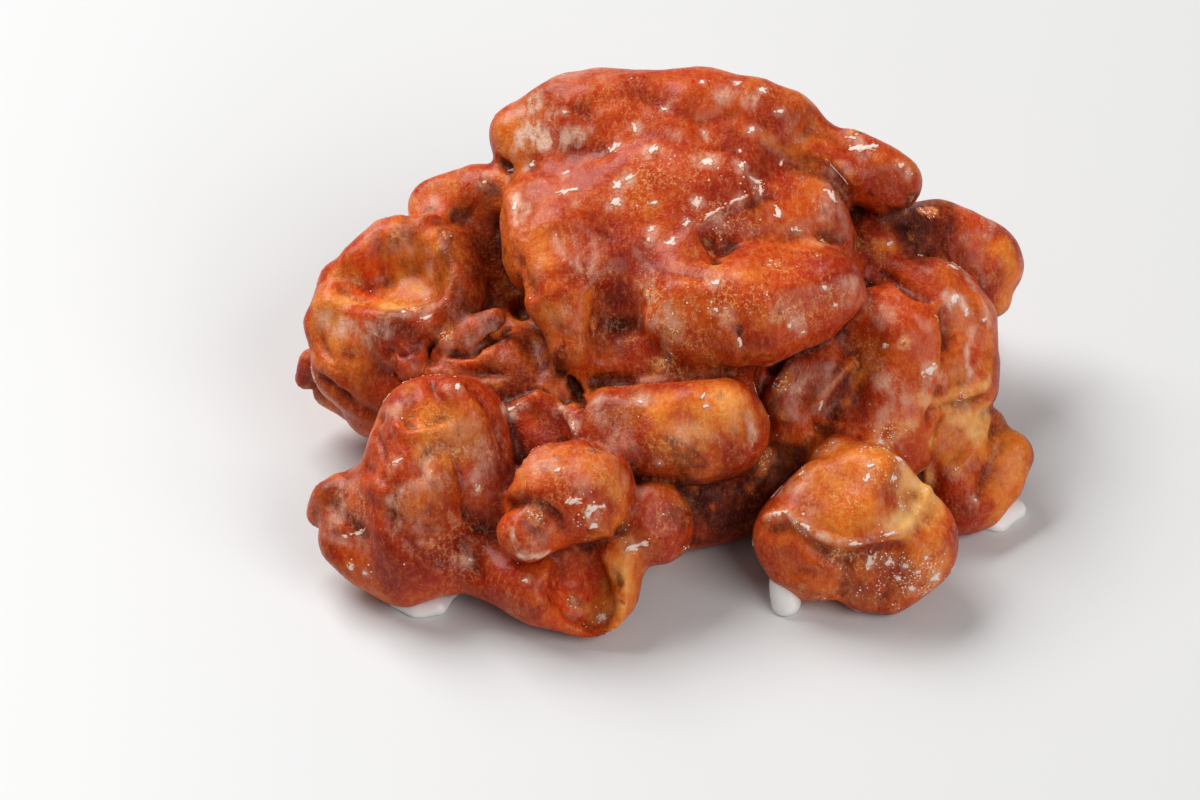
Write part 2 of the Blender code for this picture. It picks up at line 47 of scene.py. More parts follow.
# ---------------------------------------------------------------------------------------------
# Dough: chains of balls (x, y, z, radius) in millimetres, before the shift to the box's middle.
# name: (press direction, press share, melt with what it meets, balls)
# ---------------------------------------------------------------------------------------------
UP = (0, 0, 1)
ROLLS = {
    "heart": (UP, 1, 3, ((-30, 10, 14, 14), (-6, 6, 18, 16), (14, 6, 18, 16), (34, 10, 16, 13))),
    "heart_high": (UP, 1, 3, ((-12, 14, 32, 12), (8, 12, 32, 14), (24, 12, 32, 11))),
    "heart_back": (UP, 1, 3, ((-28, 26, 17, 13), (0, 28, 19, 16), (28, 26, 18, 13))),
    "heart_right": (UP, 1, 3, ((34, 2, 19, 10), (42, 14, 18, 9), (36, 19, 31, 8))),
    "heart_left": (UP, 1, 3, ((-31, -24, 6, 7), (-28, -12, 9, 8), (-48, 12, 11, 10))),
    # crown
    "crown_back": (UP, 1, 4, (
        (-25, 31.5, 47.6, 6.8), (-18.5, 32, 50.2, 8.8), (-11, 32, 51.2, 8.8), (-3, 32, 51.6, 8.8),
        (8, 32, 52, 8.8), (16, 31, 52.4, 8.4), (22, 30, 51.8, 7.2),
    )),
    "crown_slab": ((0, -0.3, 0.95), 0.8, 3, ((-14, 9, 38, 12.5), (4, 8, 38, 13), (20, 8, 36.5, 12))),
    "crown_top_left": (UP, 1, 7, ((-22, 17, 41.5, 7.5), (-10, 19, 43, 9))),
    "crown_saddle": (UP, 1, 4, ((-15, 2, 39.5, 7.2), (-8, 2, 40, 7.4), (0, 1, 39.5, 7.4))),
    "crown_dome": (UP, 1, 8, ((-2, 17, 43.5, 10.5), (10, 18.5, 44, 11))),
    "crown_side": (UP, 1, 3, ((22, 15, 41, 10),)),
    "crown_left_lobe": (UP, 1, 2.5, ((-17.5, 9, 40, 10.5), (-16.5, 0, 37.5, 7.5), (-15.5, -7, 34, 5.5))),
    "crown_lip": ((0, 0.5, 0.87), 0.9, 2.5, (
        (4, -5, 38.5, 9.5), (14, -4.5, 38, 11.5), (25.5, -2, 39.5, 9.3),
    )),
    "crown_lip_low": (UP, 1, 2.5, ((-10, -8, 31.5, 4.5), (0, -9, 31.5, 4.5), (10, -9, 32, 5))),
    "crown_right": (UP, 1, 3, ((26, 27, 48, 6.5), (33, 24, 48, 6.5), (39, 21.5, 46, 6))),
    # right side
    "arm_back": (UP, 1, 2, ((50, 27, 28, 7), (58, 25, 24, 7.3), (57.5, 22, 20, 6))),
    "shoulder": (UP, 1, 3, (
        (39.5, 12, 32, 5), (46.5, 9, 30.5, 6.8), (51.2, 5, 27, 7), (52.5, 0, 23, 6.2), (53, -4, 20, 5.5),
    )),
    "shoulder_root": (UP, 1, 2, ((42, 10, 22, 10),)),
    "arm_root": (UP, 1, 2, ((38, 21, 33, 8), (46, 25, 29, 7), (50, 15, 24, 7))),
    "right_mid": (UP, 1, 2.5, (
        (37, 0, 31, 7), (41, -3, 30, 7.5), (41.5, -7, 25.5, 7.8), (40.5, -11, 19.5, 7.5),
        (39.5, -14, 15, 7),
    )),
    "right_inner": (UP, 1, 1.2, (
        (30.5, -2, 26.5, 6), (25.5, -7, 24, 6.5), (23, -10, 21, 6.5), (23, -12, 14, 6.5),
    )),
    "right_join": (UP, 1, 3, (
        (46, 5, 27.5, 7), (47, 0, 24.5, 6.8), (46.8, -5, 20.5, 6.6), (46, -9, 16, 6),
    )),
    "inner_fill": (UP, 1, 2, ((32, -6, 23, 6), (32, -10, 16, 6))),
    "arm_low_left": (UP, 1, 1.5, ((51.5, -9, 12.7, 6.5), (51.8, -14, 8.8, 6.3), (52.5, -19, 5.6, 5.8))),
    "arm_low_right": (UP, 1, 1.2, ((60.2, -10.8, 9.8, 5.2), (58.6, -14.5, 7, 5.4), (56, -18, 5.2, 5))),
    "arm_low_nub": (UP, 1, 2, ((57.6, -6.2, 13.4, 2.8),)),
    "front_right": (UP, 1, 3, ((27.5, -31, 17, 7.6), (33.5, -30.5, 17.5, 9.5), (32, -25, 16, 8.5))),
    "front_right_left": (UP, 1, 3.5, ((23.6, -34.2, 12.3, 9.1),)),
    "front_right_root": (UP, 1, 3, ((32, -24, 13, 8), (33, -14, 14, 8.5))),
    "front_right_right": (UP, 1, 3.5, ((41.5, -35, 11, 8.8),)),
    "front_right_heart": (UP, 1, 3.5, ((33, -33.5, 12, 10),)),
    "front_right_toe": (UP, 1, 3, ((38.5, -38, 5.1, 5.8), (27, -35.5, 6, 6.6))),
    # centre
    "centre": (UP, 1, 1.5, (
        (-11, -19.5, 25.3, 7.2), (-4, -20.5, 24.7, 9), (4.5, -21, 24.3, 9.6), (8.6, -20, 24.3, 9.2),
    )),
    "centre_fill": (UP, 1, 3, ((-27, -6, 23.5, 7), (-18, -7.5, 24, 7), (-8, -9, 25, 6.5), (8, -12, 25, 7))),
    "centre_low": (UP, 1, 3, ((13, -18, 8.5, 8.5), (4, -22, 7.5, 7.5), (-3, -23, 7.5, 7.5))),
    "belly": (UP, 0.5, 6, ((-28, 0, 9.5, 14), (-6, -3, 9, 15.5), (14, -2, 9.5, 15), (32, 2, 9, 12))),
    "belly_back": (UP, 0.5, 6, ((-28, 19, 9, 14), (0, 20, 9.5, 15), (26, 20, 9, 13))),
    "belly_lumps": (UP, 1, 4, ((-14, 8, 6, 5.6), (-2, 13, 6.5, 5.5))),
    "belly_lumps_right": (UP, 1, 4, ((12, 4, 6.2, 5.8), (24, 10, 6, 5))),
    "knob_fill": (UP, 1, 3, ((-18, -33, 12, 6.5), (-12, -27, 12, 7.5), (-5, -27, 11, 6.5))),
    # front left
    "front_left": (UP, 1, 3, ((-41.8, -20.5, 25, 9.1), (-43.5, -29, 18.5, 10.5), (-43.5, -35, 12, 9))),
    "front_left_right": (UP, 1, 3, ((-36, -20, 25, 8.5), (-33.5, -25, 19, 8))),
    "ear": (UP, 1, 2.5, (
        (-46, -27, 14, 7.5), (-53.5, -28.3, 14.2, 6.2), (-56.5, -28.4, 15.4, 4.6), (-58.7, -28.8, 16, 3.2),
        (-60, -28.6, 11.6, 3.2), (-55.5, -31, 12.5, 5.6), (-55.3, -33.5, 10.3, 6), (-51, -35, 8, 6.4),
        (-45, -37.3, 5.8, 6),
    )),
    "bridge": (UP, 1, 3, (
        (-45, -37.5, 7, 5.8), (-34, -37, 9, 5.6), (-27, -41, 8.5, 5.3), (-20.5, -44, 7, 5.5),
        (-14, -44.3, 6.6, 7),
    )),
    "leg_side": (UP, 1, 3, ((-10.5, -41.5, 7.5, 5.2), (-8.5, -39, 12, 4.6))),
    "knob": (UP, 1, 1.5, ((-19.3, -33, 21.6, 8.9), (-15, -32.6, 21.6, 9.1))),
    "knob_tip": (UP, 1, 1.5, ((-24.2, -40.4, 19.6, 4.9), (-20.5, -36, 19.5, 6))),
    "knob_root": (UP, 1, 3, ((-31, -27, 13, 7), (-23, -29, 13, 8))),
    "nub": (UP, 1, 2, ((-3, -34, 14.5, 7.2),)),
    "ridge": (UP, 1, 1.5, ((-25, -15, 18.5, 6.5), (-20.5, -18, 18.5, 6.5))),
    "ridge_peak": (UP, 1, 1.5, (
        (-29.8, -14, 22.5, 2.2), (-27, -15, 23.2, 2), (-22.2, -15.4, 28, 1.4), (-18.9, -17.5, 25.8, 1.8),
        (-16.2, -20.5, 22.9, 2),
    )),
    "ridge_body": (UP, 1, 3, ((-22, -16, 23, 3.6), (-20, -19, 20, 5))),
    "under_ridge": (UP, 1, 3, ((-29, -12, 10, 10), (-22, -24, 9, 9.5))),
    # left side
    "left_top": (UP, 1, 2.5, ((-42, 27, 36, 5), (-35, 27, 38.5, 5.5), (-30, 26, 40, 5))),
    "left_rim": (UP, 1, 3, ((-54, 15, 32.5, 4), (-49, 17.5, 34.2, 5), (-42, 18, 36, 5.5))),
    "left_ridge": (UP, 1, 3, ((-38, 14, 34, 5.5), (-37.5, 8, 32, 5.5), (-38.5, 3, 29.5, 5))),
    "left_wall": (UP, 1, 2.5, (
        (-58, 14, 29, 4), (-60, 8, 25.5, 5), (-52.5, 4, 27, 5), (-45.5, 1, 28, 4.5),
    )),
    "left_front": (UP, 1, 3, ((-55, 4, 20, 8.5), (-50.5, 1, 17, 8), (-50.5, 0.5, 13, 7))),
    "left_under": (UP, 1, 1.5, ((-60, 7.5, 10, 3.3), (-54.5, 3, 9.5, 3.3), (-50, -1, 10, 3.3))),
    "left_nub": (UP, 1, 1.5, ((-63, 8, 15.5, 3), (-64.5, 7, 13, 1.9))),
    "left_cap": (UP, 1, 1, ((-49, -2.5, 27, 3.2), (-45.5, -3.5, 26.5, 3.2))),
    "left_fill": (UP, 1, 4, ((-52, 12, 22, 8.5), (-46, 9, 24, 8.5))),
    "left_back": (UP, 1, 3, ((-42, 24, 26, 8), (-33, 22, 30, 8), (-31, 14, 24, 8))),
    "tongue": ((0.2, -0.6, 0.75), 0.75, 0.8, (
        (-40, -3.2, 26.8, 1.3), (-37, -2.6, 28.8, 2.7), (-33, -1.6, 31, 3.1), (-29.8, -0.2, 32.8, 2),
    )),
    "flap": (UP, 1, 0.8, ((-37.5, -5.5, 25.5, 2.3), (-31, -5, 27, 3.5), (-27, -4, 25, 3.8))),
    "under_tongue": (UP, 1, 2, ((-26, -3, 22, 8), (-38, -4, 18, 8))),
    # far side
    "back_high": (UP, 1, 3, ((-14, 35, 38, 9.5), (3, 36, 35, 11), (19, 33, 38, 9), (28, 29, 35, 9))),
    "back_crown": (UP, 1, 4, (
        (-20, 37, 47, 5.5), (-8, 38.5, 43, 6.5), (6, 38.5, 46.5, 6), (17, 36, 43, 6.5),
    )),
    "back_fold": ((0.1, 0.9, 0.4), 0.6, 2.5, ((-24, 39, 29, 8), (-12, 42, 31, 9.5), (2, 44, 27, 9))),
    "back_left": (UP, 1, 4, ((-46, 26, 9, 10), (-40, 30, 17, 10))),
    "back_left_low": (UP, 1, 4, ((-30, 36, 9, 10), (-24, 39, 11, 10))),
    "back_mid": (UP, 1, 4, ((-12, 42, 17, 8.5), (-2, 44, 9, 9), (5, 43, 4, 6))),
    "back_right_mid": (UP, 1, 4, ((13, 41, 9, 10), (17, 39, 17, 10), (20, 39, 25, 8.5))),
    "back_right": (UP, 1, 4, ((33, 34, 8, 9.5), (38, 26, 17, 10))),
    "back_finger": (UP, 1, 2, ((44, 27, 8, 7), (51, 31, 6, 6))),
    "back_flap": ((0.1, 0.9, 0.4), 0.6, 2, ((-33, 37, 17, 7), (-22, 44, 15, 9), (-10, 47, 10, 8))),
    "back_flap_right": ((0.1, 0.9, 0.4), 0.6, 2, ((22, 41, 12, 7.5), (31, 38, 18, 8), (36, 33, 25, 6.5))),
    "back_knot": (UP, 1, 2, ((27, 38, 27, 5.5), (33, 35, 23, 4.5))),
    "back_ridge": (UP, 1, 1.5, ((-36, 36, 27, 2.6), (-30, 43, 21, 3), (-21, 49, 15, 2.6))),
    "back_ridge_right": (UP, 1, 1.5, ((4, 49, 22, 2.8), (12, 49, 16, 3.2), (22, 46, 9, 2.8))),
}
# name: (melt, balls)
HOLLOWS = {
    "leg_face": (1, ((-15.6, -46.8, 12, 7), (-15.2, -49.4, 9.2, 5.8))),
    "toe_arch": (1, ((27.5, -43, -1, 5.5),)),
    "far_pit": (1.5, ((-6, 52, 17, 4.5),)),
    "far_pit_right": (1.5, ((26, 46, 5, 5),)),
    "far_pit_left": (1.5, ((-38, 44, 8, 5),)),
    "left_bowl": (3, ((-53.5, 8, 34, 4.2), (-48, 7.5, 36.5, 5.5), (-43, 6.5, 37, 5))),
    "groove": (2.5, ((-8, -9.5, 42.5, 2.8), (-9.5, -13, 36.5, 3))),
}
# Glaze set at the foot: (press share, grid step, balls).
POOLS = {
    "left": (0.6, 0.35, (
        (-47, -38.5, 0.6, 1.5), (-43.5, -39.8, 0.5, 2.3), (-40.5, -39.2, 1.0, 2.4), (-37, -37, 1.4, 1.6),
    )),
    "drip": (1, 0.35, ((20.6, -38.0, 5.0, 2.7), (20.8, -39.2, 2.6, 2.9), (20.8, -39.6, 1.6, 2.7))),
    "right": (0.5, 0.4, ((58, -17.5, 0.6, 3.2), (61, -15, 0.6, 2.6))),
}
# What brings the dough to the middle of its box, and how it wanders: (lattice spacing, reach).
MIDDLE_SHIFT = np.array((0.4, -1.6, 0.0))
DRIFTS = ((16, 1.1), (8, 0.4))
DRIFT_SEED = 3
# Stronger wandering of the far side: (lattice spacing, reach), from nought to full between two depths.
FAR_DRIFTS = ((15, 6.0), (7.5, 2.4))
FAR_DRIFT_SEED = 61
FAR_FROM = 34
FAR_FULL = 45

GRID_STEP = 0.75
GRID_LOW = (-74, -60, -4)
GRID_HIGH = (72, 62, 66)
# A distance that is out of the dough's reach, the room kept round a stamp and half a random lattice's width.
FAR_OUT = 20.0
ROUND_A_STAMP = 2.5
LATTICE_HALF = 90

# Relief of the crust by chance: (height in mm, lattice spacing, seed), and for creases their softness.
SWELLINGS = ((0.26, 9, 11), (0.14, 5.2, 12), (0.08, 2.8, 14), (0.06, 1.7, 16))
CREASES = ((-0.18, 6.5, 13, 0.03), (0.12, 3.4, 18, 0.01))

# ---------------------------------------------------------------------------------------------
# The photograph's view: picture places in its pixels, 1200 x 800
# ---------------------------------------------------------------------------------------------
PICTURE = (1200, 800)
ELEVATION = math.radians(42)
DISTANCE = 870.0
AIM = np.array((-11.7, 14.5, 0.0)) + MIDDLE_SHIFT
LENS = 142.7
SENSOR = 36.0
LOOK = np.array((0, math.cos(ELEVATION), -math.sin(ELEVATION)))
LOOK_UP = np.array((0, math.sin(ELEVATION), math.cos(ELEVATION)))
EYE = AIM - DISTANCE * LOOK

# Deep gaps and dents seen in the picture: (melt, radius, depth below the skin, picture places).
CUTS = {
    "crown pit": (0.8, 1.7, 2.0, ((712, 243), (722, 248), (732, 244))),
    "pit mouth": (0.7, 1.1, 1.3, ((704, 240), (712, 250), (717, 262))),
    "groove": (3, 3.4, 1.9, ((640, 258), (630, 276), (620, 296))),
    "groove foot": (3, 3.4, 1.8, ((611, 306), (604, 322), (600, 336))),
    "ledge step": (1.2, 2.0, 0.6, ((742, 221), (728, 229), (712, 238))),
    "lobe seam": (1.5, 1.2, 0.9, ((738, 240), (760, 236), (785, 232), (815, 233), (846, 240))),
    "lobe seam left": (1.5, 1.1, 0.6, ((650, 265), (680, 272), (708, 275))),
    "crown notch": (1.0, 1.0, 1.5, ((500, 162), (508, 166))),
    "back pit": (1.5, 1.2, 0.6, ((578, 109), (587, 114))),
    "crown crack": (0.5, 0.9, 2.4, ((767, 142), (777, 149), (788, 155), (801, 157))),
    "lobe side gap": (1.0, 1.5, 4.0, ((872, 265), (874, 282))),
    "lip gap": (1.0, 1.7, 2.6, ((752, 369), (776, 367))),
    "left gap": (1.5, 2.2, 3.0, ((522, 296), (520, 308))),
    "centre gap": (1.0, 1.0, 2.0, ((570, 380), (574, 391), (577, 402))),
    "arm cave": (1.2, 2.0, 1.2, ((890, 214), (905, 222))),
    "tongue gap": (1.5, 2.0, 1.6, ((528, 342), (538, 362))),
    "tongue shade": (0.8, 1.0, 1.6, ((452, 354), (472, 352), (492, 340), (506, 328))),
    "front undercut": (1.2, 2.4, 1.3, (
        (772, 532), (788, 530), (802, 541), (822, 551), (842, 558), (868, 553), (897, 547),
    )),
    "front recess": (1.5, 2.0, 1.3, ((852, 566), (874, 562), (893, 563))),
    "bowl fold": (1.2, 1.6, 0.8, ((374, 242), (382, 258), (388, 282))),
    "main cleft": (1.0, 1.2, 1.3, ((432, 384), (438, 395), (446, 404))),
    "ear fold": (1.2, 1.1, 0.5, ((330, 506), (346, 517), (360, 529), (378, 534))),
    "arm groove": (1.0, 1.2, 0.9, ((1003, 443), (996, 459), (986, 476), (979, 496))),
}
# Flattened faces seen in the picture, cut as shallow dishes: (melt, radius, depth below the skin, places).
FACETS = {
    "slab top": (4, 45, 0.5, ((640, 198),)),
    "slab right": (4, 30, 0.4, ((790, 200),)),
    "left lobe end": (1.5, 14, 1.0, ((560, 330),)),
    "lip face": (4, 34, 1.0, ((700, 318),)),
    "lip end": (3, 20, 0.8, ((820, 300),)),
    "lip top": (3, 18, 0.5, ((790, 262),)),
    "back left face": (3, 18, 0.8, ((540, 118),)),
    "back mid face": (2, 22, 1.0, ((640, 95),)),
    "back right face": (2, 22, 1.1, ((740, 108),)),
    "crown right face": (2, 22, 1.1, ((850, 150),)),
    "crown right end": (1.5, 12, 0.9, ((895, 185),)),
    "barrel face": (1.5, 26, 1.7, ((700, 425),)),
    "barrel left face": (1.5, 14, 0.9, ((612, 425),)),
    "barrel end face": (1.2, 12, 1.0, ((758, 425),)),
    "front top face": (1.5, 22, 1.5, ((850, 475),)),
    "front right face": (1.2, 22, 1.7, ((932, 515),)),
    "front left face": (1.5, 20, 1.7, ((785, 560),)),
    "front low face": (1.5, 16, 1.2, ((880, 585),)),
    "main left face": (2, 20, 1.0, ((385, 450),)),
    "main front face": (2, 18, 1.2, ((440, 430),)),
    "main right face": (2, 16, 0.9, ((492, 465),)),
    "main low face": (3, 22, 1.2, ((430, 550),)),
    "ear face": (1.5, 14, 0.9, ((340, 548),)),
    "knob right face": (1.5, 14, 0.7, ((615, 500),)),
    "button face": (0.4, 8, 0.9, ((533, 528),)),
    "nub face": (1.5, 12, 1.1, ((665, 512),)),
    "wall face": (2, 20, 1.5, ((330, 335),)),
    "wall side face": (1.5, 16, 1.5, ((360, 385),)),
    "cap face": (1.2, 10, 0.9, ((392, 332),)),
    "left top face": (1.5, 12, 1.0, ((430, 197),)),
    "shoulder face": (1.5, 12, 1.1, ((966, 325),)),
    "shoulder top face": (1.5, 14, 0.5, ((925, 285),)),
    "mid face": (2, 20, 1.5, ((905, 385),)),
    "mid left face": (2, 14, 0.8, ((868, 340),)),
    "inner face": (1.5, 14, 1.4, ((805, 395),)),
    "arm face": (1.5, 16, 0.6, ((965, 245),)),
    "low arm face": (2, 16, 0.5, ((958, 440),)),
    "low arm right face": (1.2, 12, 1.2, ((1008, 470),)),
}
# Raised folds and lumps seen in the picture: (melt, radius, height above the skin, picture places).
LUMPS = {
    "right fold": (2.5, 1.9, 0.6, ((812, 153), (826, 158), (840, 167), (851, 178), (858, 190))),
    "bowl front rim": (3.0, 2.2, 0.6, (
        (328, 298), (345, 297), (364, 305), (386, 315), (402, 319), (428, 318),
    )),
    "bowl side rim": (2.5, 1.8, 0.6, ((445, 256), (452, 272), (453, 290), (447, 308))),
    "lobe fold": (3.0, 2.2, 0.6, ((526, 244), (534, 262), (542, 278), (543, 292), (537, 306))),
    "main wrinkle": (2.0, 1.2, 0.35, ((398, 424), (412, 430), (428, 430), (444, 426))),
    "ear ridge": (2.5, 1.6, 0.5, ((358, 508), (369, 519), (380, 530))),
    "main rim": (3, 2.4, 0.5, ((458, 393), (474, 408), (486, 428), (491, 446))),
}

# Folds seen in the picture: (height in mm, negative for a crease, half width in mm, picture places).
FOLDS = {
    # crown
    "back dip": (-0.7, 2.3, ((568, 150), (585, 153), (604, 150))),
    "back wrinkle": (-0.4, 1.4, ((590, 104), (615, 98), (640, 95), (656, 104), (670, 111), (684, 117))),
    "back wrinkle right": (-0.5, 1.3, ((700, 122), (725, 116), (750, 120), (765, 128))),
    "right fold crease": (-0.7, 1.2, ((806, 160), (822, 166), (834, 174), (843, 184), (849, 196))),
    "ledge crease": (-0.5, 0.9, ((772, 196), (750, 204), (732, 212), (716, 221), (702, 231))),
    "lobe end edge": (0.35, 0.9, ((826, 246), (845, 251), (860, 263), (868, 280))),
    "left lobe rim": (0.6, 1.4, ((508, 190), (512, 210), (514, 234))),
    "left lobe line": (-0.5, 0.8, ((532, 206), (528, 221), (524, 236))),
    "left lobe fold crease": (-0.8, 1.1, ((520, 262), (529, 280), (533, 292))),
    "left lobe hem": (0.5, 0.9, ((557, 304), (562, 318), (571, 328), (582, 331))),
    "lip line": (-0.6, 0.9, ((738, 330), (742, 345), (745, 362))),
    "lip crack": (-0.8, 1.1, ((600, 380), (640, 381), (680, 377), (720, 373), (748, 371))),
    # left side
    "bowl hem crease": (-0.6, 1.2, ((340, 290), (356, 297), (372, 303), (390, 308))),
    "bowl streak one": (0.5, 0.9, ((428, 240), (431, 258), (434, 276))),
    "bowl streak two": (0.4, 0.8, ((404, 244), (407, 260))),
    "top seam": (-0.9, 1.6, ((405, 216), (430, 222), (455, 219), (476, 205), (492, 193))),
    "wall wrinkle": (-0.5, 0.9, ((318, 330), (326, 350), (340, 372), (352, 392))),
    "wall dimple": (-0.7, 1.5, ((345, 355), (351, 356))),
    "wall ring": (-0.4, 1.0, ((378, 368), (381, 376))),
    "cap shade": (-1.3, 1.7, ((388, 352), (402, 356), (418, 348))),
    "under fold": (-1.1, 1.2, ((318, 378), (335, 392), (356, 405), (380, 418))),
    "under fold hole": (-1.3, 1.2, ((322, 381), (328, 386))),
    "under fold hole two": (-1.2, 1.1, ((340, 396), (345, 400))),
    "flap shade": (-1.0, 1.1, ((446, 367), (470, 372), (500, 373))),
    "thin hem": (0.6, 0.9, ((398, 380), (408, 372), (430, 370), (452, 371))),
    # front left
    "main streak": (-0.8, 1.6, ((405, 390), (409, 407), (410, 424))),
    "main rim crease": (-0.8, 1.3, ((472, 388), (487, 405), (498, 428), (505, 448))),
    "main wrinkle": (-0.6, 0.9, ((396, 418), (412, 424), (428, 424), (446, 419))),
    "main wrinkle side": (-0.5, 0.8, ((376, 432), (384, 448), (386, 466), (380, 482))),
    "main wrinkle mid": (-0.5, 0.8, ((428, 452), (422, 464), (424, 478), (432, 488))),
    "main wrinkle low": (-0.5, 0.9, ((388, 512), (400, 520), (418, 526), (436, 527))),
    "main edge": (-0.7, 1.2, ((390, 522), (404, 540), (420, 556), (440, 566))),
    "crater": (-0.6, 1.6, ((413, 472), (418, 473))),
    "ear seam": (-0.6, 1.5, ((366, 466), (385, 478), (396, 490), (390, 510), (394, 532))),
    "main cut": (-0.8, 1.1, ((453, 452), (459, 473), (464, 495), (467, 515))),
    "main low ridge": (0.5, 1.0, ((398, 538), (413, 554), (430, 566), (452, 572))),
    "bridge seam": (-0.8, 1.5, ((463, 545), (475, 557), (480, 577))),
    "knob line": (0.4, 1.2, ((508, 494), (540, 488), (570, 484), (600, 484), (618, 490))),
    "button crease": (-0.8, 1.0, ((508, 505), (525, 501), (545, 504), (557, 515), (562, 530))),
    "knob stripe": (0.25, 0.7, ((518, 474), (540, 462), (565, 457), (595, 461), (618, 470))),
    "knob stripe high": (0.25, 0.7, ((532, 459), (550, 449), (572, 446), (595, 450))),
    "knob stripe side": (0.25, 0.7, ((515, 484), (522, 466), (534, 453), (550, 444))),
    "knob under edge": (0.5, 0.9, ((583, 523), (600, 526), (612, 536))),
    "leg rim left": (0.8, 1.0, ((545, 558), (541, 580), (545, 602), (560, 621), (578, 630))),
    "leg rim right": (0.8, 1.1, ((606, 556), (616, 580), (622, 604), (615, 624))),
    "peak edge left": (0.6, 0.9, ((543, 388), (530, 397), (515, 404))),
    "peak edge right": (0.6, 0.9, ((543, 388), (558, 402), (570, 418), (578, 432))),
    # centre
    "barrel ring": (-0.6, 1.2, ((592, 384), (585, 400), (580, 416))),
    "barrel seam": (-0.4, 1.2, ((632, 392), (640, 415), (636, 440), (644, 458))),
    "barrel end": (0.4, 1.1, ((745, 388), (752, 410), (753, 432), (747, 456))),
    # right side
    "mid edge": (0.7, 0.9, ((880, 283), (893, 290), (905, 300), (918, 305), (932, 311))),
    "mid edge crease": (-0.9, 1.2, ((884, 276), (900, 285), (915, 294), (930, 300))),
    "shoulder rim": (0.5, 0.8, ((968, 292), (980, 305), (987, 322), (988, 342))),
    "curl": (0.4, 0.7, ((935, 274), (940, 267), (951, 265), (963, 272))),
    "shoulder streak": (0.5, 0.8, ((978, 298), (986, 314), (993, 331))),
    "shoulder dip": (-0.5, 1.4, ((949, 330), (951, 342))),
    "mid seam": (-0.9, 1.2, ((942, 312), (944, 330), (945, 352), (943, 375), (937, 398), (930, 420))),
    "mid side": (0.5, 1.2, ((934, 318), (936, 340), (936, 362), (932, 384))),
    "shoulder hem": (0.6, 1.0, ((948, 392), (962, 394), (976, 388), (984, 376))),
    "inner rim": (1.1, 0.9, ((850, 363), (838, 376), (826, 389), (817, 402), (815, 414))),
    "inner crack": (-1.0, 0.8, ((815, 412), (816, 426))),
    "small crack": (-0.7, 0.8, ((820, 430), (840, 430), (858, 437))),
    "low arm crease": (-0.9, 0.9, ((930, 414), (945, 408), (960, 406), (975, 402), (986, 396))),
    "arm edge": (0.7, 0.9, ((986, 418), (983, 436), (972, 454), (956, 471))),
    # front right
    "ledge shade": (-0.5, 1.2, (
        (766, 530), (786, 528), (800, 540), (818, 550), (836, 560), (852, 556), (872, 552),
    )),
    "side facet": (0.7, 1.1, ((926, 458), (930, 476), (926, 497), (915, 516), (903, 532))),
    "low fold": (-0.6, 1.3, ((775, 575), (800, 572), (828, 578))),
    "ledge": (0.8, 0.9, (
        (766, 518), (790, 512), (800, 524), (816, 534), (836, 543), (858, 542), (880, 537), (900, 533),
    )),
    "low recess": (-0.9, 1.8, ((846, 566), (848, 582), (842, 600))),
    "toe fold": (-0.6, 1.0, ((878, 604), (888, 592), (884, 580))),
}

# Crust colours, as seen in even light (linear red, green, blue); brown and dark are also laid as painted
# shade in gaps, hollows and creases.
TONES = {
    "rust": (0.480, 0.052, 0.007),
    "orange": (0.630, 0.100, 0.011),
    "amber": (0.790, 0.235, 0.030),
    "gold": (0.940, 0.540, 0.190),
    "red": (0.330, 0.024, 0.004),
    "brown": (0.095, 0.010, 0.003),
    "plum": (0.260, 0.042, 0.020),
    "fire": (0.720, 0.070, 0.005),
    "dark": (0.030, 0.004, 0.002),
}
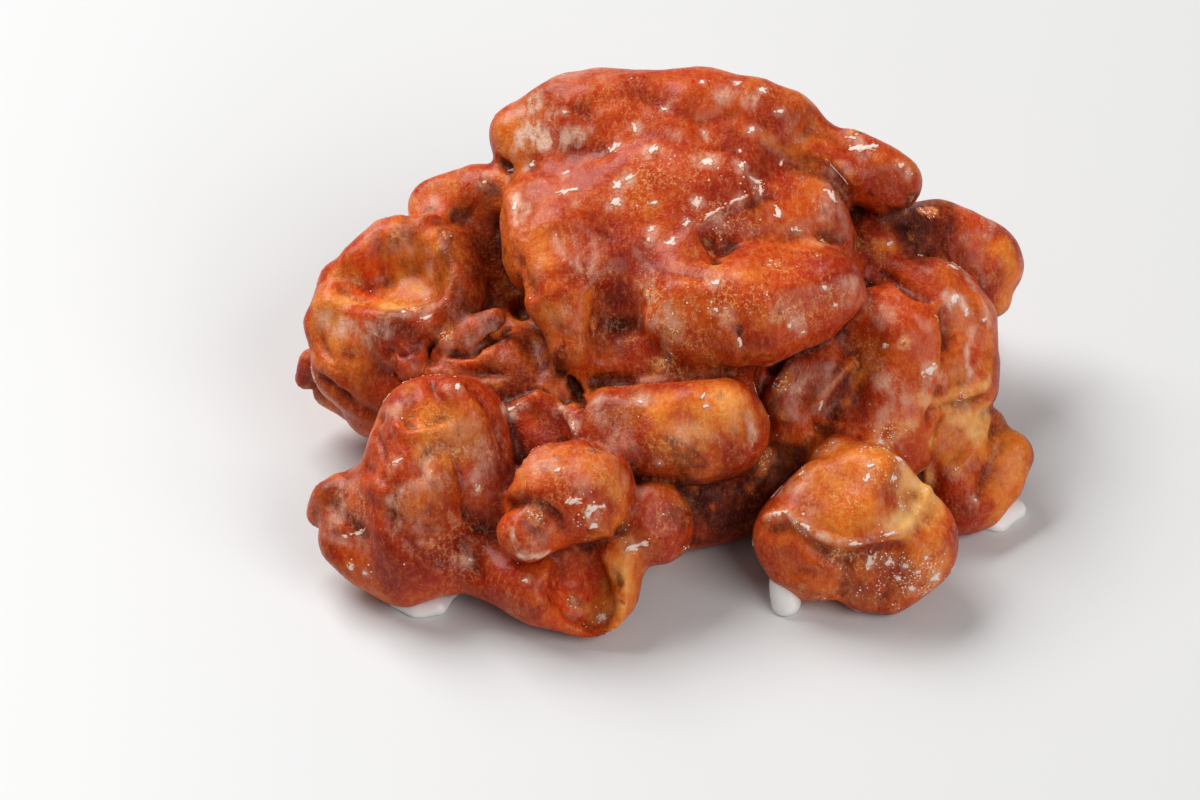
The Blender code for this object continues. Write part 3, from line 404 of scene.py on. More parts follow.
# Browning seen in the picture, with painted shade and painted highlights among it: (tone, strength, reach in
# mm, picture places).
BROWNING_AND_PAINTED_LIGHT = {
    "back left end": ("amber", 0.8, 3.5, ((503, 135), (508, 148), (512, 128))),
    "back top": ("red", 0.4, 3.0, ((560, 90), (590, 85), (620, 85))),
    "back pit": ("red", 0.8, 2.6, ((584, 112),)),
    "back dip": ("red", 0.8, 3.4, ((580, 152), (596, 152))),
    "back mid": ("orange", 0.6, 4.0, ((600, 85), (620, 110), (640, 118))),
    "back dark": ("red", 0.7, 2.6, ((670, 105), (684, 112), (640, 93))),
    "back right": ("orange", 0.7, 3.5, ((720, 110), (745, 118))),
    "back right end": ("red", 0.6, 4.0, ((780, 100), (790, 110), (770, 98))),
    "crack gold": ("amber", 1.0, 1.2, ((773, 143), (780, 148), (786, 151))),
    "crack amber": ("amber", 0.6, 1.2, ((792, 152),)),
    "under crack": ("red", 0.6, 3.0, ((770, 160), (790, 164))),
    "fold edge": ("amber", 0.8, 0.6, ((814, 154), (826, 158), (838, 165), (848, 175), (855, 184))),
    "crown orange": ("orange", 0.8, 5.0, ((660, 160), (685, 168), (640, 185), (615, 190), (590, 195))),
    "crown rust": ("red", 0.35, 5.0, ((575, 225), (720, 190), (760, 215))),
    "slab left": ("rust", 0.6, 4.0, ((545, 190), (560, 205), (540, 215))),
    "crown left edge": ("amber", 0.4, 2.2, ((494, 190), (497, 205), (505, 182))),
    "lobe streak": ("amber", 0.7, 2.4, ((538, 240), (545, 262), (552, 285), (550, 310))),
    "lobe mid": ("plum", 0.5, 3.4, ((590, 270), (575, 275), (612, 268))),
    "groove": ("red", 0.7, 3.0, ((632, 262), (626, 282), (616, 300), (612, 322))),
    # Painted shade: brown deep in the groove.
    "groove dark": ("brown", 0.6, 1.3, ((612, 302), (605, 312), (600, 324))),
    "groove mouth": ("red", 0.6, 2.2, ((640, 320), (632, 340))),
    "groove side": ("rust", 0.8, 2.6, ((628, 312), (636, 296), (622, 332))),
    # Painted shade: near black in the deep gap between the ridge, the barrel and the crown.
    "gap": ("dark", 1.0, 2.2, ((562, 372), (572, 386), (577, 400))),
    # Painted shadow: dark red in the crown pit.
    "pit": ("red", 0.9, 2.0, ((718, 246), (712, 240), (724, 250))),
    "pit rim": ("gold", 0.6, 0.8, ((706, 243), (711, 254), (716, 266))),
    "lobe gold": ("orange", 0.8, 5.0, ((690, 295), (660, 310), (750, 290), (780, 320))),
    "lobe amber": ("amber", 0.5, 3.0, ((765, 325), (745, 275), (665, 318))),
    "lobe end": ("red", 0.4, 4.0, ((835, 265), (850, 285))),
    "lobe end amber": ("orange", 0.7, 3.0, ((835, 305), (850, 300))),
    # Painted shade: darker red along the lip's underside.
    "lobe under": ("red", 0.6, 4.5, ((640, 360), (680, 352), (720, 350), (760, 345), (600, 362))),
    "slab orange": ("orange", 0.5, 4.0, ((760, 245), (790, 205), (850, 205))),
    "bowl floor": ("amber", 1.0, 5.4, ((400, 285), (420, 290), (398, 302), (425, 275))),
    "bowl gold": ("gold", 0.7, 2.4, ((385, 305), (402, 308), (330, 301), (346, 300))),
    "bowl pocket": ("fire", 1.0, 3.0, ((360, 285), (366, 294), (352, 275), (360, 268))),
    "bowl left": ("orange", 0.9, 2.5, ((345, 275), (335, 285))),
    "bowl spot": ("fire", 0.8, 1.2, ((386, 265), (388, 276))),
    "bowl back": ("amber", 0.7, 3.8, ((400, 238), (425, 240), (446, 250))),
    "bowl back left": ("orange", 0.9, 3.0, ((372, 246), (385, 240))),
    "bowl back amber": ("amber", 0.8, 2.6, ((438, 262), (420, 256), (405, 258))),
    "left top": ("amber", 0.5, 3.4, ((430, 195), (412, 205), (450, 184))),
    "left top right": ("orange", 0.9, 3.0, ((470, 205), (485, 215), (468, 225))),
    "left top red": ("red", 0.7, 2.4, ((472, 186),)),
    "left seam": ("red", 0.5, 2.0, ((440, 220), (420, 226))),
    "left seam rust": ("orange", 0.9, 3.0, ((455, 212), (468, 214), (448, 205), (484, 190))),
    # Painted shade: brown in the valley beside the crown.
    "valley": ("brown", 0.75, 5.0, ((475, 270), (485, 250), (490, 290), (465, 310))),
    "wall": ("amber", 0.8, 5.0, ((335, 345), (330, 322), (352, 362))),
    "wall low": ("orange", 0.5, 3.0, ((350, 380), (345, 400), (365, 410))),
    "wall red": ("red", 0.7, 2.0, ((348, 356),)),
    "wall side": ("red", 0.5, 3.0, ((375, 375), (370, 400), (385, 362))),
    "cap": ("plum", 1.0, 2.8, ((385, 330), (400, 328), (410, 335))),
    # Painted shade: darker red under the cap's overhang.
    "cap dark": ("red", 0.9, 2.2, ((390, 350), (400, 352))),
    "nub": ("red", 0.8, 2.2, ((306, 362), (300, 372))),
    "under fold": ("red", 0.8, 1.6, ((325, 383), (342, 397))),
    "tongue": ("plum", 0.8, 2.4, ((455, 347), (472, 338), (490, 325))),
    "tongue top": ("orange", 0.7, 1.6, ((470, 322), (460, 330))),
    "flap": ("orange", 0.8, 2.4, ((490, 352), (470, 360), (500, 358))),
    # Painted shade: brown below the tongue and flap.
    "flap below": ("brown", 0.55, 5.0, ((530, 350), (540, 370), (520, 380))),
    "main top": ("rust", 0.8, 3.6, ((430, 388), (405, 396), (385, 430), (455, 392))),
    "main red": ("red", 0.7, 1.7, ((408, 400), (410, 415), (440, 400))),
    "main amber": ("amber", 1.0, 4.6, ((430, 425), (455, 430), (435, 448))),
    "main amber low": ("amber", 0.6, 4.0, ((410, 500), (425, 490), (438, 476), (440, 512))),
    "crater": ("rust", 0.8, 1.6, ((416, 473),)),
    "main side": ("plum", 0.4, 4.0, ((495, 430), (490, 460), (480, 490))),
    "main cut": ("red", 0.7, 3.0, ((450, 500), (460, 520), (445, 480))),
    "main low": ("red", 0.7, 4.0, ((420, 545), (450, 545), (400, 560), (450, 560))),
    "ear": ("plum", 0.4, 3.0, ((375, 490), (345, 488), (385, 500))),
    "ear orange": ("orange", 0.9, 2.4, ((380, 472), (366, 478), (350, 500), (362, 505), (380, 494))),
    "ear tip": ("plum", 0.8, 1.6, ((322, 483), (330, 486))),
    "ear ledge": ("red", 0.6, 1.8, ((355, 522), (365, 528))),
    "ear low": ("red", 0.6, 4.0, ((385, 560), (400, 580), (375, 545))),
    "ear low orange": ("orange", 0.8, 2.6, ((345, 550), (360, 565), (365, 580))),
    "bridge": ("rust", 0.6, 4.0, ((490, 580), (510, 590), (530, 590))),
    # Partly the crust's amber, partly painted highlight on the knob's lit top.
    "knob top": ("amber", 0.65, 4.6, ((555, 460), (590, 462), (535, 472), (610, 474))),
    # Painted shade under the knob's dome: this rust band and the red below.
    "knob band": ("rust", 0.8, 2.6, ((560, 506), (590, 500), (540, 496), (585, 524))),
    "knob right": ("amber", 0.7, 2.0, ((625, 485), (622, 502), (618, 520))),
    "knob red": ("red", 0.6, 1.6, ((545, 499), (528, 497), (556, 510))),
    "button": ("plum", 0.9, 2.0, ((532, 522), (536, 530))),
    "button rim": ("orange", 0.9, 1.2, ((558, 522), (556, 538), (546, 508))),
    "button side": ("orange", 0.9, 2.2, ((505, 505), (503, 530), (510, 545))),
    "nub rust": ("rust", 0.8, 4.0, ((650, 510), (665, 535))),
    "leg hollow": ("fire", 1.0, 4.0, ((572, 602), (582, 612), (588, 592), (560, 608))),
    "leg hollow mid": ("fire", 0.6, 2.8, ((565, 588), (580, 578), (592, 570))),
    # Painted shadow of the knob: brown at the top of the leg hollow.
    "leg hollow dark": ("brown", 0.5, 1.8, ((556, 560), (570, 553), (586, 551), (560, 568))),
    "leg hollow edge": ("amber", 0.9, 1.8, ((604, 600), (594, 616), (608, 588))),
    "leg side": ("amber", 1.0, 3.8, ((624, 560), (626, 578), (626, 596), (618, 615))),
    "leg gold": ("gold", 0.55, 1.5, ((626, 572), (628, 588), (622, 604))),
    "leg left": ("orange", 0.6, 2.6, ((535, 575), (535, 600), (555, 620))),
    "peak": ("red", 0.7, 3.0, ((535, 410), (520, 425), (548, 400))),
    "peak side": ("plum", 0.6, 2.6, ((560, 412), (568, 425), (552, 430))),
    "peak foot": ("red", 0.8, 3.0, ((525, 445), (515, 455), (540, 442))),
    # Partly the crust's amber, partly painted highlight: the amber and gold band along the barrel's lit
    # middle.
    "barrel": ("amber", 1.0, 5.0, ((700, 405), (680, 430), (725, 405), (660, 410))),
    "barrel gold": ("gold", 0.4, 2.4, ((735, 400), (700, 430))),
    "barrel left": ("plum", 0.5, 3.6, ((610, 410), (630, 400), (600, 430))),
    # Painted shade: darker red on the barrel's lower side.
    "barrel low": ("red", 0.6, 3.6, ((690, 460), (640, 455), (730, 462))),
    # Painted shade: brown under the barrel.
    "under barrel": ("brown", 0.95, 6.5, ((700, 500), (730, 520), (680, 490), (750, 490))),
    "inner": ("plum", 0.35, 4.0, ((800, 385), (820, 360), (840, 350), (785, 400))),
    # Painted shade: brown in the recess between the inner lump and the right lump.
    "inner dark": ("brown", 0.85, 2.4, ((842, 398), (836, 415), (830, 428), (795, 455), (850, 384))),
    "mid top": ("rust", 0.9, 4.5, ((900, 330), (880, 340))),
    "mid crumbs": ("amber", 0.9, 2.0, ((870, 365), (880, 355), (862, 372))),
    "mid front": ("orange", 0.8, 5.0, ((900, 370), (905, 400), (890, 420), (930, 340))),
    "shoulder": ("rust", 0.5, 3.4, ((920, 285), (950, 285), (940, 295))),
    "shoulder dark": ("red", 0.8, 4.2, ((890, 262), (920, 265), (880, 280))),
    "shoulder edge": ("amber", 0.8, 2.4, ((985, 365), (990, 345), (975, 385))),
    "shoulder under": ("gold", 0.9, 1.5, ((952, 397), (968, 396), (984, 386))),
    "shoulder dip": ("red", 0.9, 1.6, ((950, 338),)),
    # Partly burnt crust, partly painted shade: brown in the recess between the crown and the arm.
    "arm dark": ("brown", 0.8, 4.6, (
        (925, 212), (930, 206), (945, 225), (910, 235), (940, 245), (930, 230),
    )),
    "arm mid": ("plum", 0.6, 3.4, ((955, 250), (965, 262))),
    "arm": ("orange", 0.7, 4.0, ((975, 240), (985, 265))),
    "arm end": ("amber", 1.0, 2.8, ((1010, 260), (1012, 280), (1005, 250), (1008, 295))),
    # Painted shade: brown in the cave above the arm.
    "cave": ("brown", 0.9, 3.6, ((890, 215), (900, 225), (915, 225))),
    "cave crumbs": ("amber", 0.8, 1.6, ((885, 246), (892, 248))),
    "low arm": ("amber", 1.0, 4.6, ((960, 418), (975, 420), (950, 440), (968, 444), (955, 455))),
    "low arm gold": ("gold", 0.9, 2.2, ((980, 420), (976, 432), (962, 418))),
    "low arm step": ("rust", 0.4, 1.2, ((945, 406), (960, 408), (975, 404), (985, 398))),
    "low arm dark": ("rust", 0.8, 2.8, ((966, 488), (954, 492), (976, 474))),
    "low arm plum": ("plum", 0.6, 2.4, ((955, 505), (968, 510))),
    "low arm right": ("amber", 1.0, 4.0, ((1010, 450), (1012, 475), (1005, 495))),
    "low arm nub": ("plum", 0.8, 1.6, ((1005, 418), (1000, 416))),
    "front top": ("amber", 1.0, 5.4, ((850, 460), (880, 460), (830, 490), (870, 510), (840, 520))),
    "front top red": ("red", 0.45, 3.0, ((810, 505), (800, 490), (885, 492))),
    "front top right": ("rust", 0.7, 2.4, ((915, 455), (918, 470))),
    "front gold": ("gold", 1.0, 3.0, ((925, 490), (920, 510), (905, 522), (925, 475))),
    "front left": ("orange", 0.5, 5.0, ((770, 545), (790, 560), (760, 530), (800, 570))),
    "front under": ("plum", 0.6, 3.0, ((845, 575), (860, 590))),
    "front recess": ("red", 0.8, 2.8, ((885, 560), (900, 565), (895, 575))),
    "front right": ("amber", 0.8, 4.0, ((935, 540), (945, 560), (920, 550))),
    "front low": ("orange", 0.7, 3.0, ((915, 600), (935, 590))),
}
# Milky glaze left on the crust, partly painted sheen where the glaze catches the light: (strength, reach in
# mm, picture places).
MILK_AND_SHEEN = {
    "back haze": (1.7, 2.8, ((525, 136), (545, 136), (562, 138), (578, 136))),
    "back haze high": (0.5, 1.8, ((505, 118), (520, 112), (535, 103))),
    "back haze right": (0.55, 2.0, ((722, 92), (736, 98), (750, 102))),
    "back haze mid": (0.4, 2.0, ((600, 112), (675, 135), (590, 130))),
    "crack haze": (0.3, 1.4, ((795, 138), (804, 140))),
    "crown left": (1.0, 2.0, ((514, 195), (515, 210), (518, 222))),
    "lobe haze": (0.5, 1.3, ((557, 238), (560, 252), (586, 272), (592, 268))),
    "lobe haze low": (0.3, 1.4, ((566, 316), (538, 268), (540, 276))),
    "groove haze": (0.35, 1.4, ((647, 268), (637, 305), (640, 322))),
    "lip haze": (0.6, 2.4, ((655, 315), (665, 325), (650, 322))),
    "lip haze right": (0.5, 2.0, ((855, 285), (845, 282), (795, 322))),
    "bowl streak": (0.6, 1.2, ((428, 250), (430, 265), (425, 295), (432, 305), (407, 252))),
    "left top": (0.45, 1.8, ((425, 205), (432, 200), (486, 180))),
    "wall haze": (0.8, 2.6, ((330, 325), (345, 328), (365, 330))),
    "cap haze": (0.6, 1.6, ((375, 335), (385, 328))),
    "tongue haze": (0.75, 1.4, ((452, 347), (465, 342), (478, 337), (492, 328))),
    "hem haze": (0.4, 1.2, ((415, 370), (435, 370))),
    "main haze": (0.8, 2.0, ((425, 465), (432, 475), (410, 488), (400, 495))),
    "main haze low": (0.6, 1.6, ((400, 522), (415, 522), (390, 500))),
    "main haze side": (0.5, 2.2, ((485, 450), (490, 460), (475, 490))),
    "main haze top": (0.45, 1.8, ((390, 415), (398, 405), (455, 390))),
    "ear haze": (0.5, 2.0, ((345, 488), (330, 535), (345, 540), (362, 533))),
    "peak haze": (1.1, 1.5, ((503, 410), (513, 415), (524, 404))),
    "peak film": (1.2, 1.2, ((560, 406), (567, 418), (573, 429))),
    "barrel haze": (0.5, 2.6, ((612, 420), (620, 440), (600, 410), (630, 448))),
    "barrel end haze": (0.8, 1.1, ((750, 420), (754, 435), (752, 448))),
    "nub haze": (0.35, 1.4, ((655, 490), (650, 500))),
    "button haze": (1.3, 1.0, ((513, 530), (514, 538), (516, 545))),
    "button hem": (1.8, 1.0, ((520, 555), (528, 558), (537, 558), (546, 554))),
    "mid haze": (0.7, 1.8, ((928, 370), (935, 378), (943, 380))),
    "mid haze two": (0.55, 2.6, ((890, 385), (880, 375), (900, 400), (885, 415))),
    "shoulder haze": (1.1, 1.5, ((952, 298), (962, 300), (967, 312))),
    "shoulder haze low": (0.85, 1.7, ((972, 330), (968, 340), (965, 365), (970, 372))),
    "shoulder edge": (0.6, 1.1, ((970, 282), (982, 305), (990, 325))),
    "inner haze": (0.5, 2.2, ((795, 378), (788, 388), (835, 375), (822, 390))),
    "arm haze": (0.4, 1.8, ((990, 275), (985, 280))),
    "front haze": (0.45, 1.8, ((790, 482), (800, 487), (785, 478))),
    "front rim": (0.6, 1.2, ((782, 488), (778, 496), (832, 445), (825, 450))),
    "front side": (0.5, 1.6, ((947, 545), (930, 465))),
    "ledge haze": (0.9, 1.0, (
        (768, 516), (786, 512), (798, 524), (815, 534), (836, 542), (858, 542), (880, 537),
    )),
    "low arm haze": (0.6, 1.2, ((958, 470), (952, 478))),
}

# Fine pale crystals set in the crust: (strength, reach in mm, picture places).
SPECKLED = {
    "lobe": (1.0, 5.5, ((690, 290), (720, 300), (760, 300), (785, 310), (660, 310))),
    "slab": (0.8, 5.0, ((650, 170), (680, 180), (640, 190), (720, 215))),
    "left lobe": (0.6, 4.0, ((590, 275), (612, 325), (560, 300))),
    "back roll": (0.5, 4.5, ((620, 115), (600, 95))),
    "lip": (0.6, 4.0, ((690, 345), (830, 290))),
    "main": (1.0, 4.0, ((440, 430), (455, 450), (430, 455))),
    "main low": (0.6, 4.0, ((455, 560), (470, 540), (400, 505))),
    "ear": (0.9, 2.5, ((345, 500), (360, 512))),
    "mid": (0.7, 2.6, ((870, 360), (868, 350), (880, 372), (890, 310))),
    "cave": (0.8, 2.5, ((885, 246),)),
    "front": (0.8, 5.0, ((850, 500), (880, 470), (900, 580), (860, 570))),
    "front right": (0.8, 3.5, ((940, 555), (905, 560))),
    "front low": (1.6, 2.4, ((885, 575), (905, 585), (925, 575))),
    "barrel": (0.5, 4.0, ((700, 410), (660, 450))),
    "knob": (0.5, 3.5, ((600, 475), (560, 490))),
    "nub": (0.6, 3.5, ((660, 530), (670, 505))),
    "bowl": (0.7, 3.0, ((400, 300), (350, 300))),
}
# Loose white sugar and crumbs: (grains a square mm, reach in mm, picture places).
GRAINED = {
    "front low": (3.2, 1.9, (
        (885, 560), (895, 575), (905, 585), (915, 575), (925, 565), (905, 560), (880, 585),
    )),
    "front low left": (0.3, 2.4, ((860, 590), (845, 575))),
    "front right": (1.6, 1.7, ((938, 574), (950, 570), (945, 560))),
    "front top": (0.5, 3.5, ((880, 450), (895, 470), (905, 500))),
    "ledge": (1.0, 1.6, ((775, 515), (800, 528), (850, 543), (880, 536))),
    "crown": (0.1, 5.0, ((620, 190), (655, 155), (700, 200), (750, 185))),
    "lobe": (0.08, 5.0, ((700, 300), (760, 300))),
    "slab pit": (0.8, 1.4, ((715, 232), (725, 236))),
    "knob": (0.6, 2.5, ((590, 505), (580, 525))),
    "nub": (0.6, 2.0, ((640, 545), (630, 535))),
    "ear": (0.8, 1.6, ((350, 560), (370, 575))),
    "tip": (0.7, 2.0, ((605, 617), (585, 625))),
}
# White flecks of dried glaze: (length, width and turn in the picture: pixels and degrees, picture place).
FLECKS = (
    (13, 8, 60, (653, 149)), (7, 5, 90, (702, 82)), (8, 7, 0, (763, 90)), (14, 5, 100, (635, 128)),
    (13, 9, 20, (615, 147)), (6, 4, 20, (665, 109)), (5, 4, 0, (565, 112)), (7, 6, 60, (532, 165)),
    (9, 5, 20, (565, 173)), (7, 4, 0, (513, 170)), (18, 8, 20, (567, 191)), (11, 8, 80, (617, 185)),
    (14, 4, 30, (630, 177)), (11, 8, 0, (616, 202)), (10, 4, 10, (653, 203)), (12, 7, 60, (697, 203)),
    (13, 8, 20, (708, 162)), (10, 6, 70, (742, 165)), (6, 4, 50, (740, 151)), (9, 6, 80, (652, 229)),
    (8, 4, 70, (649, 239)), (9, 6, 70, (687, 222)), (13, 8, 30, (672, 242)), (6, 3, 60, (704, 133)),
    (14, 6, 0, (755, 181)), (13, 9, 50, (760, 190)), (30, 3, 22, (737, 200)), (24, 3, 30, (713, 213)),
    (26, 7, 4, (862, 148)), (12, 4, 0, (852, 138)), (8, 6, 0, (900, 165)), (7, 5, 0, (908, 173)),
    (14, 8, 125, (831, 195)), (11, 7, 100, (778, 213)), (10, 4, 0, (797, 230)), (8, 4, 60, (781, 163)),
    (10, 4, 10, (780, 112)), (8, 5, 60, (752, 130)), (9, 6, 10, (715, 282)), (5, 5, 0, (716, 310)),
    (12, 4, 95, (740, 343)), (5, 4, 0, (825, 288)), (5, 4, 0, (835, 305)), (9, 6, 0, (737, 83)),
    (5, 4, 0, (402, 285)), (5, 4, 0, (403, 312)), (5, 3, 60, (427, 299)), (12, 4, 20, (425, 318)),
    (11, 5, 60, (458, 387)), (5, 4, 0, (485, 182)), (8, 6, 0, (350, 567)), (5, 4, 0, (365, 573)),
    (14, 7, 10, (575, 501)), (20, 11, 20, (592, 511)), (8, 5, 0, (594, 526)), (6, 4, 0, (604, 506)),
    (26, 6, 20, (637, 545)), (9, 7, 0, (602, 617)), (5, 4, 0, (660, 463)), (7, 5, 0, (885, 346)),
    (14, 4, 95, (820, 407)), (5, 4, 0, (975, 500)), (8, 3, 70, (955, 470)), (12, 8, 50, (880, 442)),
    (11, 8, 20, (900, 459)), (11, 6, 70, (867, 478)), (13, 7, 30, (893, 478)), (6, 4, 0, (870, 466)),
    (9, 5, 20, (901, 507)), (6, 4, 0, (832, 443)), (18, 5, 20, (780, 513)), (12, 4, -30, (807, 528)),
    (16, 4, 10, (855, 544)), (16, 4, 10, (890, 534)), (17, 8, 70, (870, 561)), (10, 7, 20, (889, 562)),
    (14, 10, 40, (937, 576)), (9, 7, 0, (952, 570)), (6, 4, 0, (926, 557)), (8, 6, 20, (898, 578)),
    (7, 6, 0, (911, 588)), (6, 5, 0, (905, 566)), (6, 5, 0, (917, 572)), (16, 8, 40, (930, 371)),
    (14, 8, 60, (955, 300)), (12, 5, 70, (967, 312)), (10, 4, 60, (986, 318)), (13, 3, 0, (951, 266)),
    (8, 4, 30, (890, 243)), (18, 4, 25, (512, 409)), (12, 3, -60, (573, 428)), (7, 3, 60, (703, 396)),
    (5, 3, 0, (706, 406)), (9, 5, 80, (478, 490)), (12, 5, 10, (396, 462)), (7, 4, 0, (640, 402)),
    (6, 4, 30, (558, 470)), (9, 4, 60, (790, 325)), (6, 4, 0, (803, 332)), (30, 3, -52, (836, 170)),
    (14, 4, 100, (515, 205)), (16, 5, 5, (360, 533)), (6, 4, 0, (345, 536)), (5, 4, 0, (525, 580)),
    (5, 3, 0, (470, 560)),
)

FLECK_SEED = 41
FLECK_THICKNESS = (0.06, 0.14)
HIDDEN_FLECKS = 110

# Colours of the glaze in its several forms, and the crust's constant looks.
# The film colour is also laid as painted sheen.
FILM_AND_SHEEN_COLOUR = (0.87, 0.53, 0.38, 1)
CRYSTAL_COLOUR = (0.88, 0.44, 0.17, 1)
WISP_COLOUR = (0.86, 0.46, 0.25, 1)
THIN_FLECK_COLOUR = (0.70, 0.22, 0.09, 1)
FLECK_COLOUR = (0.86, 0.69, 0.60, 1)
DRIED_GLAZE = (0.84, 0.69, 0.60)
CRUST_SHADER = {
    "Subsurface Weight": 0.15,
    "Subsurface Radius": (1.0, 0.3, 0.1),
    "Subsurface Scale": 0.002,
    "Specular IOR Level": 0.14,
    "Coat Roughness": 0.2,
}

FLOOR_HALF = 3.0
LIGHTS_AIM = (0, 0, 0.02)


# ---------------------------------------------------------------------------------------------
# Shape
# ---------------------------------------------------------------------------------------------
def roll_distance(points, press, share, balls):
    """Distance from each point to the skin of one roll, in millimetres, negative inside."""
    normal = np.array(press, float) / np.linalg.norm(press)
    widen = np.eye(3) + (1 / share - 1) * np.outer(normal, normal)
    flat = points @ widen.T if share != 1 else points
    ends = [(np.array(ball[:3], float) @ widen.T, ball[3]) for ball in balls]
    if len(ends) == 1:
        ends = ends * 2
    nearest = np.full(len(points), np.inf)
    for (start, start_radius), (end, end_radius) in zip(ends, ends[1:]):
        along = end - start
        share_along = np.clip((flat - start) @ along / max(along @ along, TINY), 0, 1)
        away = flat - start - share_along[:, None] * along
        reach = np.sqrt((away * away).sum(1)) + TINY
        gap = reach - (start_radius + share_along * (end_radius - start_radius))
        if share != 1:
            gap = gap / (np.linalg.norm((away / reach[:, None]) @ widen, axis=1) + TINY)
        nearest = np.minimum(nearest, gap)
    return nearest


def melt_join(one, other, melt):
    """The nearer of two distances, rounded where they are closer than melt."""
    near = np.maximum(melt - np.abs(one - other), 0) / melt
    return np.minimum(one, other) - near * near * melt * 0.25


def grid_box(axes, low, high):
    """The part of a grid between two corners, as slices, and its places along each axis."""
    box = tuple(slice(*np.searchsorted(line, ends)) for line, ends in zip(axes, zip(low, high)))
    return box, np.meshgrid(*[line[part] for line, part in zip(axes, box)], indexing="ij")


def places_of(grid):
    return np.stack([line.ravel() for line in grid], axis=1)


def dough_field(extra, faces):
    """Distance to the dough's skin on a grid, with more stamps (melt, balls, hollow) and flat faces
    (melt, centre, radius, spot, reach)."""
    axes = [np.arange(low, high, GRID_STEP, dtype=np.float32) for low, high in zip(GRID_LOW, GRID_HIGH)]
    field = np.full([len(axis) for axis in axes], FAR_OUT, np.float32)

    def melt_in(box, gap, melt, hollow):
        if hollow:
            field[box] = -melt_join(-field[box], gap, melt)
        else:
            field[box] = melt_join(field[box], gap, melt)

    def stamp(press, share, melt, balls, hollow=False):
        spots = np.array(balls, float)
        margin = spots[:, 3].max() + melt + ROUND_A_STAMP
        box, grid = grid_box(axes, spots[:, :3].min(axis=0) - margin, spots[:, :3].max(axis=0) + margin)
        gap = roll_distance(places_of(grid), press, share, balls)
        melt_in(box, gap.reshape(grid[0].shape).astype(np.float32), melt, hollow)

    for press, share, melt, balls in ROLLS.values():
        stamp(press, share, melt, balls)
    for melt, balls in HOLLOWS.values():
        stamp(UP, 1, melt, balls, hollow=True)
    for melt, centre, radius, spot, reach in faces:
        box, grid = grid_box(axes, spot - reach - melt, spot + reach + melt)
        dish = np.sqrt(sum((line - value) ** 2 for line, value in zip(grid, centre))) - radius
        near = np.sqrt(sum((line - value) ** 2 for line, value in zip(grid, spot))) - reach
        melt_in(box, np.maximum(dish, near).astype(np.float32), melt, True)
    for melt, balls, hollow in extra:
        stamp(UP, 1, melt, balls, hollow)
    return field


def field_mesh(field, low, step):
    """The skin where a distance field is nought, as points in millimetres and quads."""
    grid = openvdb.FloatGrid(FAR_OUT)
    grid.copyFromArray(field)
    points, triangles, quads = grid.convertToPolygons(isovalue=0.0, adaptivity=0.0)
    return np.array(points, float) * step + low, np.array(quads).astype(np.int64)


def box_blur(values, cells):
    """Mean over a cube of 2 * cells + 1 cells a side."""
    for axis in range(3):
        count = values.shape[axis]
        held = np.clip(np.arange(-cells - 1, count + cells), 0, count - 1)
        total = np.cumsum(np.take(values, held, axis), axis=axis, dtype=np.float32)
        upper = np.take(total, np.arange(2 * cells + 1, 2 * cells + 1 + count), axis)
        lower = np.take(total, np.arange(0, count), axis)
        values = (upper - lower) / (2 * cells + 1)
    return values


def trilinear(values, points):
    """Values on the dough's grid, read at points between its places."""
    place = (points - GRID_LOW) / GRID_STEP
    corner = np.clip(np.floor(place).astype(int), 0, np.array(values.shape) - 2)
    part = np.clip(place - corner, 0, 1)
    total = np.zeros(len(points))
    for step in np.ndindex(2, 2, 2):
        weight = np.abs(1 - np.array(step) - part).prod(axis=1)
        total += weight * values[tuple((corner + step).T)]
    return total


def spline_weights(share):
    """Cubic B-spline weights of the four lattice points round a place."""
    return (
        (1 - share) ** 3 / 6,
        (3 * share**3 - 6 * share**2 + 4) / 6,
        (-3 * share**3 + 3 * share**2 + 3 * share + 1) / 6,
        share**3 / 6,
    )


def lattice_drift(points, spacing, seed, width=3):
    """A smooth random value, or shift, at each point, from a lattice of random ones."""
    cells = 2 * math.ceil(LATTICE_HALF / spacing) + 6
    lattice = np.random.default_rng(seed).standard_normal((cells, cells, cells, width))
    place = points / spacing + cells / 2
    corner = np.floor(place).astype(int)
    weights = [spline_weights(place[:, axis] - corner[:, axis]) for axis in range(3)]
    shift = np.zeros((len(points), width))
    for i, j, k in np.ndindex(4, 4, 4):
        weight = weights[0][i] * weights[1][j] * weights[2][k]
        shift += weight[:, None] * lattice[tuple((corner + (i - 1, j - 1, k - 1)).T)]
    return shift


def wander(points, spacing, seed):
    """Smooth random value at each point, mostly between -1 and 1."""
    return lattice_drift(points, spacing, seed, 1)[:, 0] * 2.2


def drifted(points):
    """Points moved as the dough's rolls wander, more at the far side, and to the box's middle."""
    shift = np.zeros_like(points)
    for order, (spacing, reach) in enumerate(DRIFTS):
        shift += reach * lattice_drift(points + shift, spacing, DRIFT_SEED + order)
    far = np.clip((points[:, 1:2] - FAR_FROM) / (FAR_FULL - FAR_FROM), 0, 1)
    for order, (spacing, reach) in enumerate(FAR_DRIFTS):
        shift += reach * far * lattice_drift(points, spacing, FAR_DRIFT_SEED + order)
    return points + shift + MIDDLE_SHIFT


def vertex_normals(points, quads):
    one, two, three, four = (points[quads[:, i]] for i in range(4))
    face = np.cross(three - one, four - two)
    normals = np.zeros_like(points)
    for i in range(4):
        for axis in range(3):
            normals[:, axis] += np.bincount(quads[:, i], face[:, axis], len(points))
    return normals / (np.linalg.norm(normals, axis=1, keepdims=True) + TINY)


